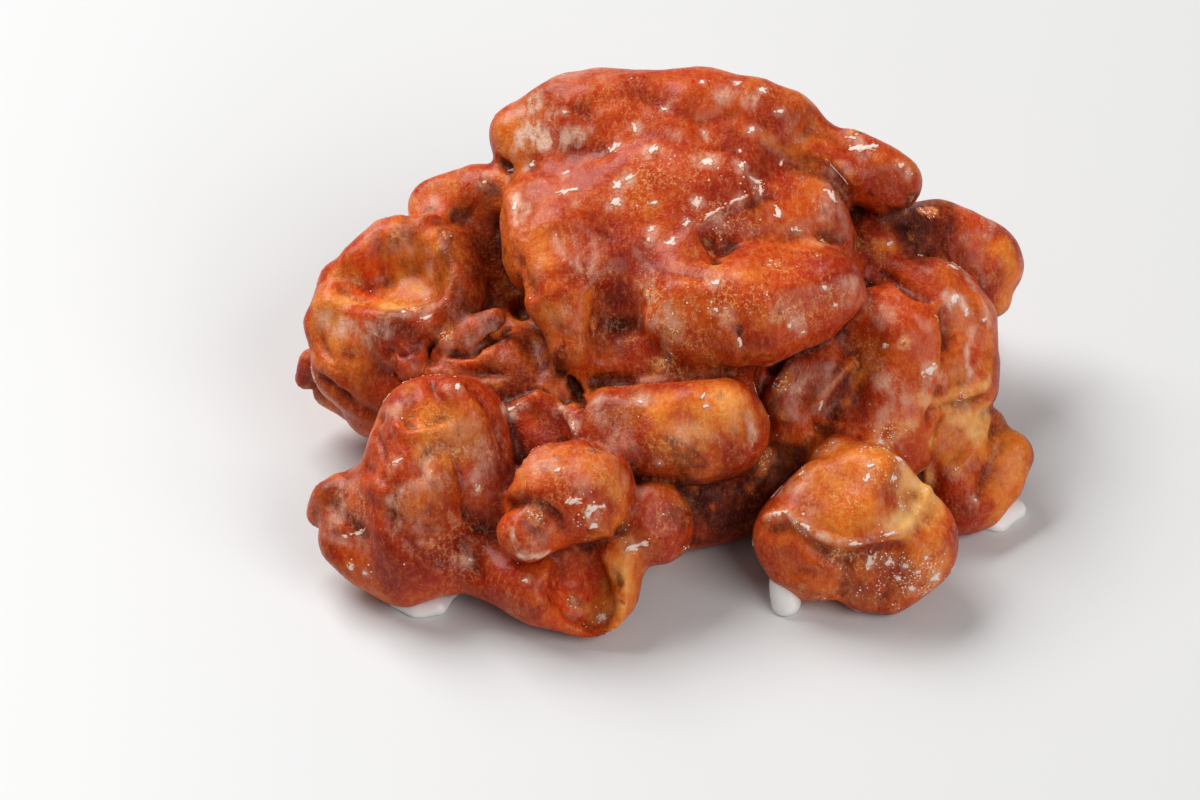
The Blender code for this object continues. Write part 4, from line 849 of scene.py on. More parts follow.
def neighbour_mean(values, quads):
    """Mean of each point's neighbours along the quads' sides."""
    total = np.zeros_like(values)
    number = np.zeros(len(values))
    for i in range(4):
        for j in ((i + 1) % 4, (i + 3) % 4):
            for column in range(values.shape[1]):
                total[:, column] += np.bincount(quads[:, i], values[quads[:, j], column], len(values))
            number += np.bincount(quads[:, i], minlength=len(values))
    return total / np.maximum(number, 1)[:, None]


# ---------------------------------------------------------------------------------------------
# From the picture to the skin
# ---------------------------------------------------------------------------------------------
def picture_ray(place):
    """Unit direction, in the row frame, from the eye through a place in the picture."""
    pixel = SENSOR / LENS / PICTURE[0]
    across = (place[0] - PICTURE[0] / 2) * pixel
    upward = (PICTURE[1] / 2 - place[1]) * pixel
    ray = LOOK + np.array((across, 0, 0)) + upward * LOOK_UP
    return ray / np.linalg.norm(ray)


def hit(tree, place):
    """Where the ray through a place in the picture first meets the skin: (spot, normal, face) or None."""
    spot, normal, face, away = tree.ray_cast(Vector(EYE), Vector(picture_ray(place)))
    return None if spot is None else (np.array(spot), np.array(normal), face)


def landings(tree, places):
    """The spots that rays through the picture places meet, without those that miss."""
    return [found[0] for found in (hit(tree, place) for place in places) if found]


def unbroken(tree, places, longest=9.0):
    """The landing spots, split where the surface jumps away between two of them."""
    runs = [[]]
    for spot in landings(tree, places):
        if runs[-1] and np.linalg.norm(spot - runs[-1][-1]) > longest:
            runs.append([])
        runs[-1].append(spot)
    return [run for run in runs if run]


def close_places(places, gap=7.0):
    """The picture places with more between them, about gap pixels apart."""
    full = []
    for start, end in zip(places, places[1:]):
        steps = max(1, round(math.dist(start, end) / gap))
        full += [tuple(np.array(start) + (np.array(end) - start) * i / steps) for i in range(steps)]
    return full + [places[-1]]


def path_distance(points, path):
    """Distance from each point to a broken line."""
    if len(path) == 1:
        return np.linalg.norm(points - path[0], axis=1)
    nearest = np.full(len(points), np.inf)
    for start, end in zip(path, path[1:]):
        along = end - start
        share = np.clip((points - start) @ along / max(along @ along, TINY), 0, 1)
        nearest = np.minimum(nearest, np.linalg.norm(points - start - share[:, None] * along, axis=1))
    return nearest


def smooth_fall(distance, reach):
    """1 at no distance, falling to 0 at reach."""
    near = np.clip(1 - distance / reach, 0, 1)
    return near * near * (3 - 2 * near)


def tree_of(points, quads):
    return BVHTree.FromPolygons(points.tolist(), quads.tolist())


def seen_stamps(points, quads):
    """The picture's faces, and its gaps and lumps as chains of balls, in the undrifted dough."""
    tree = tree_of(drifted(points), quads)
    normals = vertex_normals(points, quads)

    def seat(place):
        found = hit(tree, place)
        if found is None:
            return None
        corners = quads[found[2]]
        outward = normals[corners].mean(axis=0)
        return points[corners].mean(axis=0), outward / np.linalg.norm(outward)

    faces = []
    for melt, radius, depth, places in FACETS.values():
        for spot, outward in filter(None, map(seat, places)):
            reach = 1.15 * math.sqrt(2 * radius * depth)
            faces.append((melt, spot + outward * (radius - depth), radius, spot, reach))
    stamps = []
    for table, hollow in ((CUTS, True), (LUMPS, False)):
        for melt, radius, reach, places in table.values():
            sink = radius - reach if hollow else reach - radius
            balls = [(*(spot + outward * sink), radius) for spot, outward in filter(None, map(seat, places))]
            if balls:
                stamps.append((melt, balls, hollow))
    return stamps, faces


def skin():
    """The crust's points in millimetres, its quads, and how much dough is close round each point."""
    points, quads = field_mesh(dough_field([], []), GRID_LOW, GRID_STEP)
    field = dough_field(*seen_stamps(points, quads))
    points, quads = field_mesh(field, GRID_LOW, GRID_STEP)
    inside = (field < 0).astype(np.float32)
    return drifted(points), quads, trilinear(box_blur(box_blur(inside, 2), 2), points)


def mesh_object(name, points, faces):
    """A smooth object from points in millimetres."""
    mesh = bpy.data.meshes.new(name)
    mesh.from_pydata((np.asarray(points) * MM).tolist(), [], np.asarray(faces).tolist())
    mesh.shade_smooth()
    mesh.update()
    return linked(name, mesh)


def linked(name, data):
    """An object of that data, in the scene."""
    obj = bpy.data.objects.new(name, data)
    bpy.context.scene.collection.objects.link(obj)
    return obj


# ---------------------------------------------------------------------------------------------
# Crust
# ---------------------------------------------------------------------------------------------
def relief(points):
    """Dents, swellings, creases and ridges of every size the mesh can carry, in millimetres."""
    height = sum(share * wander(points, spacing, seed) for share, spacing, seed in SWELLINGS)
    for share, spacing, seed, softness in CREASES:
        height += share * (np.sqrt(wander(points, spacing, seed) ** 2 + softness) - 0.6)
    return height


def fold_heights(points, tree):
    """The folds that the picture shows, in millimetres at each point."""
    height = np.zeros(len(points))
    ragged = 1 + 0.35 * wander(points, 3.0, 15)
    for raise_mm, half_width, places in FOLDS.values():
        for run in unbroken(tree, close_places(places)):
            away = path_distance(points, run) / half_width
            near = away < 3
            height[near] += raise_mm * np.exp(-away[near] ** 2) * ragged[near]
    return height


def sharpness(points, quads, normals):
    """How far each point is in a crease, and how far on an edge, from 0 to 1."""
    inward = neighbour_mean(points, quads) - points
    bend = neighbour_mean(-(inward * normals).sum(axis=1, keepdims=True), quads)
    broad_bend = bend
    for _ in range(6):
        broad_bend = neighbour_mean(broad_bend, quads)
    crease = np.clip((-bend[:, 0] - 0.003) / 0.073, 0, 1)
    edge = np.clip((bend[:, 0] - broad_bend[:, 0] - 0.006) / 0.044, 0, 1)
    return crease, edge


def blend(colours, tone, amount):
    return colours + (np.array(TONES[tone]) - colours) * amount[:, None]


def browned_and_painted_light(points, tree, unseen, hollow, tatter):
    """Browning: rust everywhere, then patches by chance, then what the picture shows, painted shade and
    highlights among it.
    Gives the colours, how hollow each point stays and how much painted shade it has."""
    blotch = wander(points, 6, 21) + 0.5 * wander(points, 3, 26)
    glow = wander(points, 8, 22) + 0.4 * wander(points, 2.5, 27)
    colours = np.tile(np.array(TONES["rust"]), (len(points), 1))
    for tone, amount in (
        ("orange", np.clip(blotch * 0.9, 0, 0.6)),
        ("amber", np.clip(glow - 0.6, 0, 0.4)),
        ("red", np.clip(-blotch * 0.7 - 0.1, 0, 0.4)),
        ("plum", np.clip(wander(points, 5, 23) - 0.8, 0, 0.2)),
        ("orange", unseen * np.clip(wander(points, 9, 36) + 0.4, 0, 0.7)),
        ("amber", unseen * np.clip(wander(points, 7, 33) * 1.4 - 0.4, 0, 0.8)),
        ("red", unseen * np.clip(wander(points, 6, 34) * 1.4 - 0.5, 0, 0.6)),
    ):
        colours = blend(colours, tone, amount)
    shade = np.zeros(len(points))
    for tone, strength, reach, places in BROWNING_AND_PAINTED_LIGHT.values():
        spots = landings(tree, places)
        if not spots:
            continue
        away = np.min([np.linalg.norm(points - spot, axis=1) for spot in spots], axis=0)
        amount = strength * smooth_fall(away * tatter, reach * 1.6) ** 0.8
        colours = blend(colours, tone, amount)
        # Brown and dark patches are painted shade; bright patches lessen the painted shade of the hollows.
        if tone in ("brown", "dark"):
            shade = np.maximum(shade, amount)
        if tone in ("amber", "gold", "fire", "orange"):
            hollow = hollow * (1 - amount)
    return colours, hollow, shade


def milk_and_sheen_amount(points, normals, tree, unseen, tatter):
    """How much milky glaze lies at each point, partly painted sheen."""
    # More random milk on up-facing places: partly milky glaze, partly painted sheen where the light from
    # above falls.
    milk_and_sheen = np.clip(wander(points, 3.5, 31) * 0.6 - 0.6, 0, 0.25) * np.clip(normals[:, 2] + 0.4, 0, 1)
    milk_and_sheen = np.maximum(milk_and_sheen, unseen * np.clip(wander(points, 4.5, 35) * 1.2 - 0.7, 0, 0.7))
    for strength, reach, places in MILK_AND_SHEEN.values():
        for run in unbroken(tree, places):
            away = path_distance(points, run)
            milk_and_sheen = np.maximum(milk_and_sheen, 0.9 * strength * smooth_fall(away * tatter, reach * 1.2))
    for length, width, turn, place in FLECKS:
        for spot in landings(tree, [place]):
            away = np.linalg.norm(points - spot, axis=1)
            milk_and_sheen = np.maximum(milk_and_sheen, 0.55 * smooth_fall(away * tatter, 0.9 + 0.05 * (length + width)))
    return milk_and_sheen


def region_mask(points, tree, tatter, table):
    """The table's patches, (strength, reach in mm, picture places), as one value at each point."""
    mask = np.zeros(len(points))
    for strength, reach, places in table.values():
        for spot in landings(tree, places):
            away = np.linalg.norm(points - spot, axis=1) * tatter
            mask = np.maximum(mask, strength * smooth_fall(away, reach * 1.3))
    return mask


def float_attribute(mesh, name, values):
    attribute = mesh.attributes.new(name, "FLOAT", "POINT")
    attribute.data.foreach_set("value", np.asarray(values, np.float32))


def colour_attribute(mesh, name, colours):
    attribute = mesh.attributes.new(name, "FLOAT_COLOR", "POINT")
    full = np.concatenate([colours, np.ones((len(colours), 1))], axis=1)
    attribute.data.foreach_set("color", full.astype(np.float32).ravel())


def crust():
    """The crust and the search tree of its skin."""
    points, quads, fine = skin()
    points = points + vertex_normals(points, quads) * relief(points)[:, None]
    tree = tree_of(points, quads)
    points = points + vertex_normals(points, quads) * fold_heights(points, tree)[:, None]
    points[:, 2] = np.maximum(points[:, 2], 0.0)
    normals = vertex_normals(points, quads)
    tree = tree_of(points, quads)

    crease, edge = sharpness(points, quads, normals)
    unseen = np.clip((points[:, 1] - 30) / 10 + np.clip(normals @ LOOK, 0, 1), 0, 1)
    tatter = 1 + 0.45 * wander(points, 2.6, 24) + 0.25 * wander(points, 1.4, 25)
    hollow = np.clip((fine - 0.56) * 4, 0, 1)
    colours, hollow, shade = browned_and_painted_light(points, tree, unseen, hollow, tatter)
    # Painted highlight: a little lighter amber on sharp edges.
    colours = blend(colours, "amber", edge * 0.15)
    # Painted shade: brown in hollows and creases.
    colours = blend(colours, "brown", np.clip(hollow * 0.75 + crease * 0.5, 0, 0.9))

    obj = mesh_object("fritter_crust", points, quads)
    colour_attribute(obj.data, "browning_and_painted_light", np.clip(colours, 0.003, 1))
    float_attribute(obj.data, "milk_and_sheen", milk_and_sheen_amount(points, normals, tree, unseen, tatter))
    # The hollow attribute carries the painted shade as well; the shader lays less film, sheen and coat there.
    float_attribute(obj.data, "hollow", np.maximum(hollow, shade))
    float_attribute(obj.data, "crystal", region_mask(points, tree, tatter, SPECKLED))
    float_attribute(obj.data, "grain", region_mask(points, tree, tatter, GRAINED))
    return obj, tree


# ---------------------------------------------------------------------------------------------
# Materials: a node's output is given as (node, socket)
# ---------------------------------------------------------------------------------------------
def new_group(name, kind, inputs, outputs):
    """A node group of that kind, with its input and output nodes."""
    group = bpy.data.node_groups.new(name, kind)
    for socket, socket_kind, default in inputs:
        made = group.interface.new_socket(socket, in_out="INPUT", socket_type=socket_kind)
        if default is not None:
            made.default_value = default
    for socket, socket_kind in outputs:
        group.interface.new_socket(socket, in_out="OUTPUT", socket_type=socket_kind)
    return group, group.nodes.new("NodeGroupInput"), group.nodes.new("NodeGroupOutput")


def join(tree, target, sources):
    """Links into a node's sockets, given as {socket: (node, socket)}."""
    for socket, source in sources.items():
        tree.links.new(source[0].outputs[source[1]], target.inputs[socket])


def add(tree, kind, given=(), **settings):
    """A node with its settings, and its sockets given as {socket: (node, socket) or value}."""
    node = tree.nodes.new(kind)
    for key, value in settings.items():
        setattr(node, key, value)
    for socket, source in dict(given).items():
        if isinstance(source, tuple) and hasattr(source[0], "outputs"):
            join(tree, node, {socket: source})
        else:
            node.inputs[socket].default_value = source
    return node


def sum_node(tree, operation, *values, clamp=False):
    return add(tree, "ShaderNodeMath", dict(enumerate(values)), operation=operation, use_clamp=clamp), 0


def vector_node(tree, operation, *values):
    return add(tree, "ShaderNodeVectorMath", dict(enumerate(values)), operation=operation), 0


def scaled_vector(tree, vector, scale):
    return add(tree, "ShaderNodeVectorMath", {0: vector, "Scale": scale}, operation="SCALE"), 0


def noise(tree, vector, scale, detail, roughness, distortion=0.0):
    settings = {"Vector": vector, "Scale": scale, "Detail": detail, "Roughness": roughness}
    return add(tree, "ShaderNodeTexNoise", {**settings, "Distortion": distortion}), "Fac"


def stretched(tree, source, low, high, at_low=0.0, at_high=1.0):
    """A value between low and high, stretched to lie between at_low and at_high, and held there."""
    ends = {"From Min": low, "From Max": high, "To Min": at_low, "To Max": at_high}
    return add(tree, "ShaderNodeMapRange", {"Value": source, **ends}), 0


def mixed(tree, share, one, other):
    return add(tree, "ShaderNodeMix", {0: share, 6: one, 7: other}, data_type="RGBA"), 2


def grain_group():
    """Fine unevenness of fried crust: relief, mottling at two sizes, pale wisps of glaze and crystals."""
    group, given, made = new_group(
        "crust grain",
        "ShaderNodeTree",
        (("Vector", "NodeSocketVector", None), ("Scale", "NodeSocketFloat", 1.0)),
        tuple((name, "NodeSocketFloat") for name in ("Height", "Mottle", "Speckle", "Wisp", "Crystal")),
    )
    sized = scaled_vector(group, (given, "Vector"), (given, "Scale"))
    # Glaze drags downwards, so its marks are longer that way.
    dragged = vector_node(group, "MULTIPLY", sized, (1.0, 0.6, 0.55))

    coarse = noise(group, sized, 380.0, 5.0, 0.6)
    wrinkle = noise(group, sized, 620.0, 2.0, 0.5, 0.9)
    fine = noise(group, sized, 2100.0, 3.0, 0.6)
    ridged = sum_node(group, "ABSOLUTE", sum_node(group, "SUBTRACT", wrinkle, 0.5))
    height = sum_node(group, "MULTIPLY_ADD", fine, 0.20, sum_node(group, "MULTIPLY_ADD", ridged, 1.3, coarse))

    mottle = noise(group, sized, 270.0, 6.0, 0.7, 0.4)
    speckle = noise(group, dragged, 1100.0, 4.0, 0.75)
    patch = noise(group, sized, 150.0, 3.0, 0.6)
    broken = stretched(group, speckle, 0.44, 0.56)

    vein = noise(group, dragged, 360.0, 5.0, 0.62, 1.3)
    off_vein = sum_node(group, "ABSOLUTE", sum_node(group, "SUBTRACT", vein, 0.5))
    line = stretched(group, off_vein, 0.030, 0.006)
    wisp = sum_node(group, "MULTIPLY", line, stretched(group, patch, 0.45, 0.58))
    wisp = sum_node(group, "MULTIPLY", wisp, broken, clamp=True)

    # Sugar that dried in a net of cracks, and in separate specks.
    warp = (noise(group, sized, 800.0, 2.0, 0.5)[0], "Color")
    warped = vector_node(group, "MULTIPLY_ADD", warp, (0.0016, 0.0016, 0.0016), sized)
    net = add(group, "ShaderNodeTexVoronoi", {"Vector": warped, "Scale": 800.0}, feature="DISTANCE_TO_EDGE")
    seam = stretched(group, (net, "Distance"), 0.11, 0.03)
    seam = sum_node(group, "MULTIPLY", seam, stretched(group, patch, 0.60, 0.46))
    seam = sum_node(group, "MULTIPLY", seam, broken, clamp=True)
    cells = add(group, "ShaderNodeTexVoronoi", {"Vector": sized, "Scale": 1500.0, "Randomness": 1.0})
    chance = (add(group, "ShaderNodeSeparateColor", {0: (cells, "Color")}), 0)
    speck = stretched(group, (cells, "Distance"), 0.36, 0.18)
    speck = sum_node(group, "MULTIPLY", speck, stretched(group, chance, 0.4, 0.7), clamp=True)
    crystal = sum_node(
        group, "MAXIMUM", sum_node(group, "MULTIPLY", speck, 0.6), sum_node(group, "MULTIPLY", seam, 0.8)
    )
    join(group, made, {"Height": height, "Mottle": mottle, "Speckle": speckle})
    join(group, made, {"Wisp": wisp, "Crystal": crystal})
    return group


def glaze_group():
    """Milky sugar film over a colour, laid also as painted sheen: where it is thick, it pales and dulls what
    is under it.
    """
    group, given, made = new_group(
        "glaze film",
        "ShaderNodeTree",
        (
            ("Colour", "NodeSocketColor", (0.5, 0.1, 0.03, 1)),
            ("Amount", "NodeSocketFloat", 0.0),
            ("Vector", "NodeSocketVector", None),
        ),
        (("Colour", "NodeSocketColor"), ("Roughness", "NodeSocketFloat")),
    )
    dragged = vector_node(group, "MULTIPLY", (given, "Vector"), (1.0, 0.5, 0.5))
    thin = stretched(group, noise(group, dragged, 480.0, 4.0, 0.6), 0.40, 0.62, 0.08, 1.1)
    amount = sum_node(group, "MULTIPLY", thin, (given, "Amount"), clamp=True)
    paled = mixed(group, amount, (given, "Colour"), FILM_AND_SHEEN_COLOUR)
    join(group, made, {"Colour": paled, "Roughness": stretched(group, amount, 0, 1, 0.40, 0.55)})
    return group


def crust_material(grain, glaze):
    material = bpy.data.materials.new("glazed_crust")
    material.use_nodes = True
    tree = material.node_tree
    shader = tree.nodes["Principled BSDF"]
    place = (add(tree, "ShaderNodeTexCoord"), "Object")
    read = ("browning_and_painted_light", "milk_and_sheen", "crystal", "hollow")
    browning_and_painted_light, milk_and_sheen, crystal, hollow = (add(tree, "ShaderNodeAttribute", attribute_name=name) for name in read)
    grained = add(tree, "ShaderNodeGroup", {"Vector": place}, node_tree=grain)

    # A thicker crust takes up more light, which is a power of the colour of a thin one.
    broad = stretched(tree, (grained, "Mottle"), 0.34, 0.66, 1.32, 0.94)
    close = stretched(tree, (grained, "Speckle"), 0.34, 0.66, 1.18, 0.84)
    thickness = sum_node(tree, "MULTIPLY", broad, close)
    colour = (add(tree, "ShaderNodeGamma", {"Color": (browning_and_painted_light, "Color"), "Gamma": thickness}), 0)

    # Film, wisps and painted sheen fade in hollows and painted shade.
    open_air = sum_node(tree, "SUBTRACT", 1.0, (hollow, "Fac"), clamp=True)
    grit = sum_node(tree, "ADD", (crystal, "Fac"), 0.12)
    specks = sum_node(tree, "MULTIPLY", (grained, "Crystal"), grit, clamp=True)
    colour = mixed(tree, specks, colour, CRYSTAL_COLOUR)
    # Wisps grow with the milky glaze and its painted sheen.
    glaze_and_sheen = sum_node(tree, "MULTIPLY_ADD", (milk_and_sheen, "Fac"), 1.0, 0.25)
    wisps = sum_node(tree, "MULTIPLY", (grained, "Wisp"), glaze_and_sheen)
    wisps = sum_node(tree, "MULTIPLY", wisps, open_air, clamp=True)
    colour = mixed(tree, wisps, colour, WISP_COLOUR)
    film = {"Colour": colour, "Amount": sum_node(tree, "MULTIPLY", (milk_and_sheen, "Fac"), open_air), "Vector": place}
    filmed = add(tree, "ShaderNodeGroup", film, node_tree=glaze)

    raised = sum_node(tree, "MULTIPLY_ADD", sum_node(tree, "ADD", specks, wisps), 0.25, (grained, "Height"))
    bump = add(tree, "ShaderNodeBump", {"Strength": 0.5, "Distance": 0.0006, "Height": raised})
    wet = stretched(tree, (hollow, "Fac"), 0, 1, 0.16, 0.0)
    looks = {"Base Color": (filmed, "Colour"), "Roughness": (filmed, "Roughness")}
    join(tree, shader, {**looks, "Normal": (bump, 0), "Coat Weight": wet})
    for socket, value in CRUST_SHADER.items():
        shader.inputs[socket].default_value = value
    return material


def plain_material(name, colour, roughness):
    material = bpy.data.materials.new(name)
    material.use_nodes = True
    shader = material.node_tree.nodes["Principled BSDF"]
    shader.inputs["Base Color"].default_value = (*colour, 1)
    shader.inputs["Roughness"].default_value = roughness
    return material


def fleck_material():
    """Dried glaze, thinner and so showing more of the crust towards its edges."""
    material = plain_material("fleck_glaze", DRIED_GLAZE, 0.6)
    tree = material.node_tree
    inside = add(tree, "ShaderNodeAttribute", attribute_name="inside")
    colour = mixed(tree, stretched(tree, (inside, "Fac"), 0.0, 0.55), THIN_FLECK_COLOUR, FLECK_COLOUR)
    join(tree, tree.nodes["Principled BSDF"], {"Base Color": colour})
    return material


# ---------------------------------------------------------------------------------------------
# Flecks, grains and pools of glaze
# ---------------------------------------------------------------------------------------------
def patch_noise(across, upward, rng, cells=7):
    """Smooth random values over a patch, from a small lattice."""
    lattice = rng.standard_normal((cells + 1, cells + 1))
    place = [np.clip((v - v.min()) / max(np.ptp(v), 1e-6), 0, 1) * (cells - 1e-3) for v in (across, upward)]
    corner = [v.astype(int) for v in place]
    share = [v - c for v, c in zip(place, corner)]
    share = [v * v * (3 - 2 * v) for v in share]
    total = 0
    for i, j in np.ndindex(2, 2):
        weight = np.abs(1 - i - share[0]) * np.abs(1 - j - share[1])
        total = total + weight * lattice[corner[0] + i, corner[1] + j]
    return total


def fleck(tree, spot, outward, along, length, width, rng, step=0.2):
    """One ragged flake on the crust: (points, quads, how far from its edge), or None on broken crust."""
    thick = rng.uniform(*FLECK_THICKNESS)
    along = along - outward * (along @ outward)
    along = along / (np.linalg.norm(along) + TINY)
    side = np.cross(outward, along)
    half_length = length / 2 + 2 * step
    half_width = width / 2 + 2 * step
    across, upward = np.meshgrid(
        np.arange(-half_length, half_length + step, step),
        np.arange(-half_width, half_width + step, step),
        indexing="ij",
    )
    ragged = patch_noise(across, upward, rng) * 0.45 + patch_noise(across, upward, rng, 13) * 0.35
    cover = 1 - np.sqrt((2 * across / length) ** 2 + (2 * upward / width) ** 2) + ragged * 0.9
    cell = (cover[:-1, :-1] + cover[1:, :-1] + cover[1:, 1:] + cover[:-1, 1:]) / 4 > 0.08
    used = np.zeros(cover.shape, bool)
    for i, j in np.ndindex(2, 2):
        used[i : i + cell.shape[0], j : j + cell.shape[1]] |= cell

    number = -np.ones(cover.shape, int)
    tops = []
    bottoms = []
    inside = []
    for i, j in zip(*np.nonzero(used)):
        start = spot + outward * 1.6 + along * across[i, j] + side * upward[i, j]
        found = tree.ray_cast(Vector(start), Vector(-outward), 3.6)
        if found[0] is None:
            continue
        base = np.array(found[0])
        normal = np.array(found[1])
        rise = thick * min(1.0, max(0.0, cover[i, j]) * 3) ** 0.6 * (1 + 0.3 * ragged[i, j])
        number[i, j] = len(tops)
        tops.append(base + normal * (rise + 0.02))
        bottoms.append(base - normal * 0.12)
        inside.append(cover[i, j])

    count = len(tops)
    quads = []
    edges = {}
    for i, j in zip(*np.nonzero(cell)):
        ring = [number[i, j], number[i + 1, j], number[i + 1, j + 1], number[i, j + 1]]
        if min(ring) < 0 or max(math.dist(tops[ring[k]], tops[ring[k - 1]]) for k in range(4)) > step * 4:
            continue
        quads.append(ring)
        quads.append([corner + count for corner in ring[::-1]])
        for k in range(4):
            edges[(ring[k], ring[(k + 1) % 4])] = True
    for start, end in edges:
        if (end, start) not in edges:
            quads.append([end, start, start + count, end + count])
    return (np.array(tops + bottoms), quads, np.array(inside * 2)) if quads else None


def joined(parts):
    """Several (points, faces, value at each point) as one, without the points that no face uses."""
    points = []
    faces = []
    values = []
    for part in filter(None, parts):
        faces += [[corner + len(points) for corner in face] for face in part[1]]
        points += list(part[0])
        values += list(part[2])
    keep = np.unique(np.array(faces))
    number = -np.ones(len(points), int)
    number[keep] = np.arange(len(keep))
    return np.array(points)[keep], number[np.array(faces)], np.array(values)[keep]


def vertex_values(mesh, name):
    """A vector of each vertex, such as its place or normal."""
    flat = np.empty(len(mesh.vertices) * 3)
    mesh.vertices.foreach_get(name, flat)
    return flat.reshape(-1, 3)


def sugar_flecks(shell, tree):
    """The picture's flecks, and flecks of the same kind on the sides that it hides."""
    rng = np.random.default_rng(FLECK_SEED)
    scale = DISTANCE / (LENS / SENSOR * PICTURE[0])
    parts = []
    for length, width, turn, place in FLECKS:
        found = hit(tree, place)
        if found:
            angle = math.radians(turn)
            along = np.array((1.0, 0, 0)) * math.cos(angle) + LOOK_UP * math.sin(angle)
            size = (length * scale * 1.05, max(width * scale, 0.5))
            parts.append(fleck(tree, *found[:2], along, *size, rng))

    points = vertex_values(shell.data, "co") / MM
    normals = vertex_values(shell.data, "normal")
    hidden = np.nonzero(((normals @ -LOOK) < 0.15) & (points[:, 2] > 4) & (normals[:, 2] > -0.45))[0]
    for index in rng.choice(hidden, HIDDEN_FLECKS, replace=False):
        length = rng.uniform(0.8, 3.2)
        along = rng.standard_normal(3)
        width = length * rng.uniform(0.35, 0.8)
        parts.append(fleck(tree, points[index], normals[index], along, length, width, rng))
    points, faces, inside = joined(parts)
    obj = mesh_object("sugar_flecks", points, faces)
    float_attribute(obj.data, "inside", inside)
    return obj


def scatter_group(material):
    """Small grains set at random on a surface, as many as its grain attribute says."""
    group, given, made = new_group(
        "scatter grains",
        "GeometryNodeTree",
        (
            ("Geometry", "NodeSocketGeometry", None),
            ("Density", "NodeSocketFloat", 1e6),
            ("Everywhere", "NodeSocketFloat", 0.002),
            ("Smallest", "NodeSocketFloat", 0.00008),
            ("Largest", "NodeSocketFloat", 0.00022),
            ("Seed", "NodeSocketInt", 5),
        ),
        (("Geometry", "NodeSocketGeometry"),),
    )
    seed = (given, "Seed")

    def chance(kind, ends):
        return add(group, "FunctionNodeRandomValue", {**ends, "Seed": seed}, data_type=kind)

    grain = add(group, "GeometryNodeInputNamedAttribute", {"Name": "grain"}, data_type="FLOAT")
    most = sum_node(group, "MAXIMUM", (grain, "Attribute"), (given, "Everywhere"))
    density = sum_node(group, "MULTIPLY", most, (given, "Density"))
    where = {"Mesh": (given, "Geometry"), "Density": density, "Seed": seed}
    spots = add(group, "GeometryNodeDistributePointsOnFaces", where)
    ball = add(group, "GeometryNodeMeshIcoSphere", {"Radius": 1.0, "Subdivisions": 1})
    shape = chance("FLOAT_VECTOR", {"Min": (0.6, 0.6, 0.45), "Max": (1.4, 1.4, 0.9)})
    radius = chance("FLOAT", {2: (given, "Smallest"), 3: (given, "Largest")})
    size = scaled_vector(group, (shape, 0), (radius, 1))
    laid = {"Points": (spots, "Points"), "Instance": (ball, "Mesh"), "Scale": size}
    set_on = add(group, "GeometryNodeInstanceOnPoints", {**laid, "Rotation": (spots, "Rotation")})
    turn = chance("FLOAT_VECTOR", {"Max": (0, 0, math.tau)})
    turned = add(group, "GeometryNodeRotateInstances", {"Instances": (set_on, 0), "Rotation": (turn, 0)})
    real = add(group, "GeometryNodeRealizeInstances", {"Geometry": (turned, 0)})
    dressed = add(group, "GeometryNodeSetMaterial", {"Geometry": (real, 0), "Material": material})
    join(group, made, {"Geometry": (dressed, 0)})
    return group


def sugar_grains(shell, material):
    modifier = shell.modifiers.new("grains", "NODES")
    modifier.node_group = scatter_group(material)
    graph = bpy.context.evaluated_depsgraph_get()
    mesh = bpy.data.meshes.new_from_object(shell.evaluated_get(graph))
    shell.modifiers.remove(modifier)
    mesh.name = "sugar_grains"
    mesh.materials.clear()
    mesh.materials.append(material)
    return linked("sugar_grains", mesh)


def glaze_pools():
    """Glaze that ran down and set at the foot: (x, y, z, radius) balls, pressed flat."""
    parts = []
    for share, step, balls in POOLS.values():
        spots = np.array(balls, float)
        low = spots[:, :3].min(axis=0) - spots[:, 3].max() - 1
        high = spots[:, :3].max(axis=0) + spots[:, 3].max() + 1
        low[2] = -1.5
        axes = [np.arange(a, b, step, dtype=np.float32) for a, b in zip(low, high)]
        grid = np.meshgrid(*axes, indexing="ij")
        points = places_of(grid).astype(float)
        gap = roll_distance(points, UP, share, balls) + 0.35 * wander(points, 2.5, 51)
        gap = np.maximum(gap, -points[:, 2]).reshape(grid[0].shape).astype(np.float32)
        pool, quads = field_mesh(gap, low, step)
        pool = pool + MIDDLE_SHIFT
        parts.append((pool, quads.tolist(), pool[:, 2]))
    return mesh_object("glaze_pools", *joined(parts)[:2])


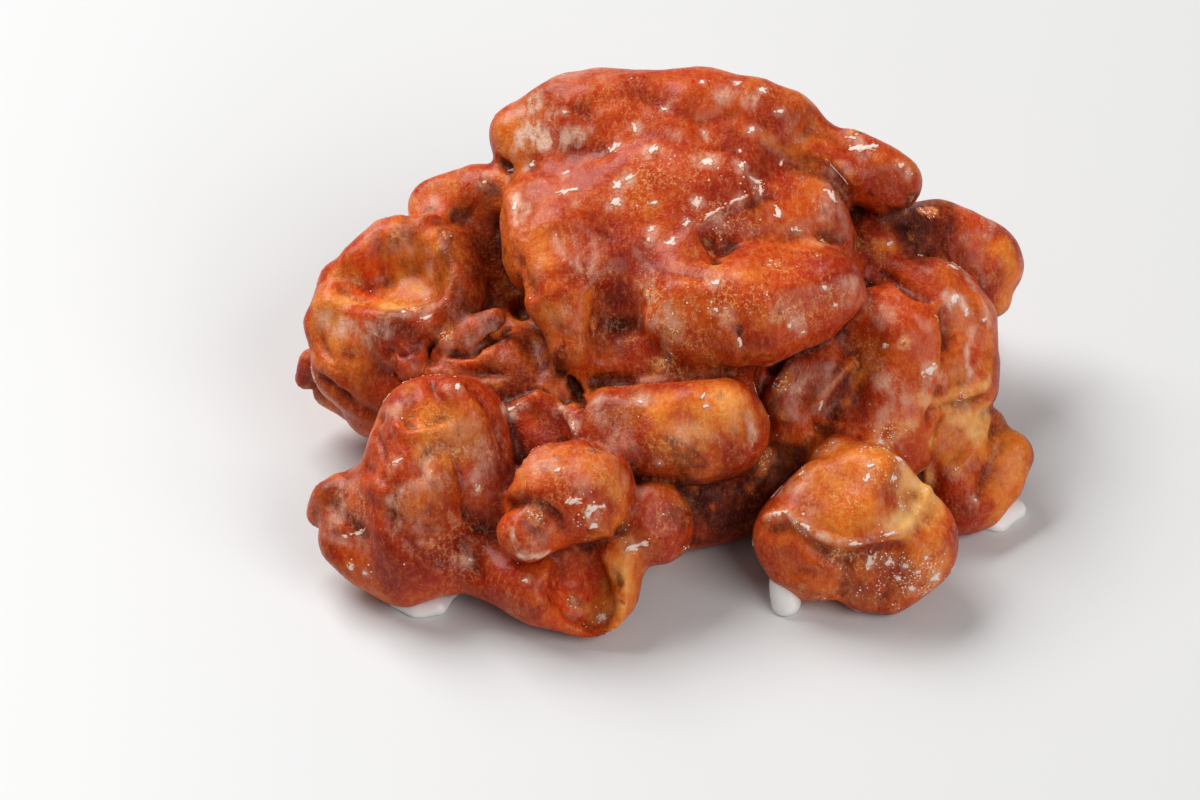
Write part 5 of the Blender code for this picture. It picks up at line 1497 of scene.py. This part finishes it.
# ---------------------------------------------------------------------------------------------
# Stage
# ---------------------------------------------------------------------------------------------
def aimed(obj, place, way):
    """Sets an object at a place, looking a way."""
    obj.location = place
    obj.rotation_mode = "QUATERNION"
    obj.rotation_quaternion = Vector(way).to_track_quat("-Z", "Y")
    return obj


def area_light(name, place, width, height, power):
    data = bpy.data.lights.new(name, "AREA")
    data.shape = "RECTANGLE"
    data.size = width
    data.size_y = height
    data.energy = power
    return aimed(linked(name, data), place, Vector(LIGHTS_AIM) - Vector(place))


def studio():
    mesh = bpy.data.meshes.new("floor")
    ways = ((-1, -1), (1, -1), (1, 1), (-1, 1))
    mesh.from_pydata([(x * FLOOR_HALF, y * FLOOR_HALF, 0) for x, y in ways], [], [(0, 1, 2, 3)])
    mesh.materials.append(plain_material("pale_floor", (0.70, 0.70, 0.697), 0.42))
    linked("floor", mesh)

    area_light("window", (-0.6, 0.55, 1.0), 0.9, 0.7, 18.8)
    area_light("fill", (0.75, -0.7, 0.85), 1.0, 0.8, 9.5)
    world = bpy.data.worlds.new("studio")
    bpy.context.scene.world = world
    world.use_nodes = True
    background = world.node_tree.nodes["Background"]
    background.inputs["Color"].default_value = (1, 1, 1, 1)
    background.inputs["Strength"].default_value = 0.16

    data = bpy.data.cameras.new("camera")
    data.lens = LENS
    data.sensor_width = SENSOR
    data.clip_start = 0.05
    data.clip_end = 20
    bpy.context.scene.camera = aimed(linked("camera", data), Vector(EYE * MM), LOOK)
    bpy.context.scene.view_settings.view_transform = "Standard"


def main():
    grain = grain_group()
    glaze = glaze_group()
    shell, tree = crust()
    shell.data.materials.append(crust_material(grain, glaze))
    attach(shell, "root")
    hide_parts("fritter")

    grains = sugar_grains(shell, plain_material("dried_glaze", DRIED_GLAZE, 0.6))
    flecks = sugar_flecks(shell, tree)
    flecks.data.materials.append(fleck_material())
    pools = glaze_pools()
    pools.data.materials.append(plain_material("set_glaze", (0.93, 0.90, 0.87), 0.35))
    for piece in (grains, flecks, pools):
        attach(piece, "root")
    studio()


main()
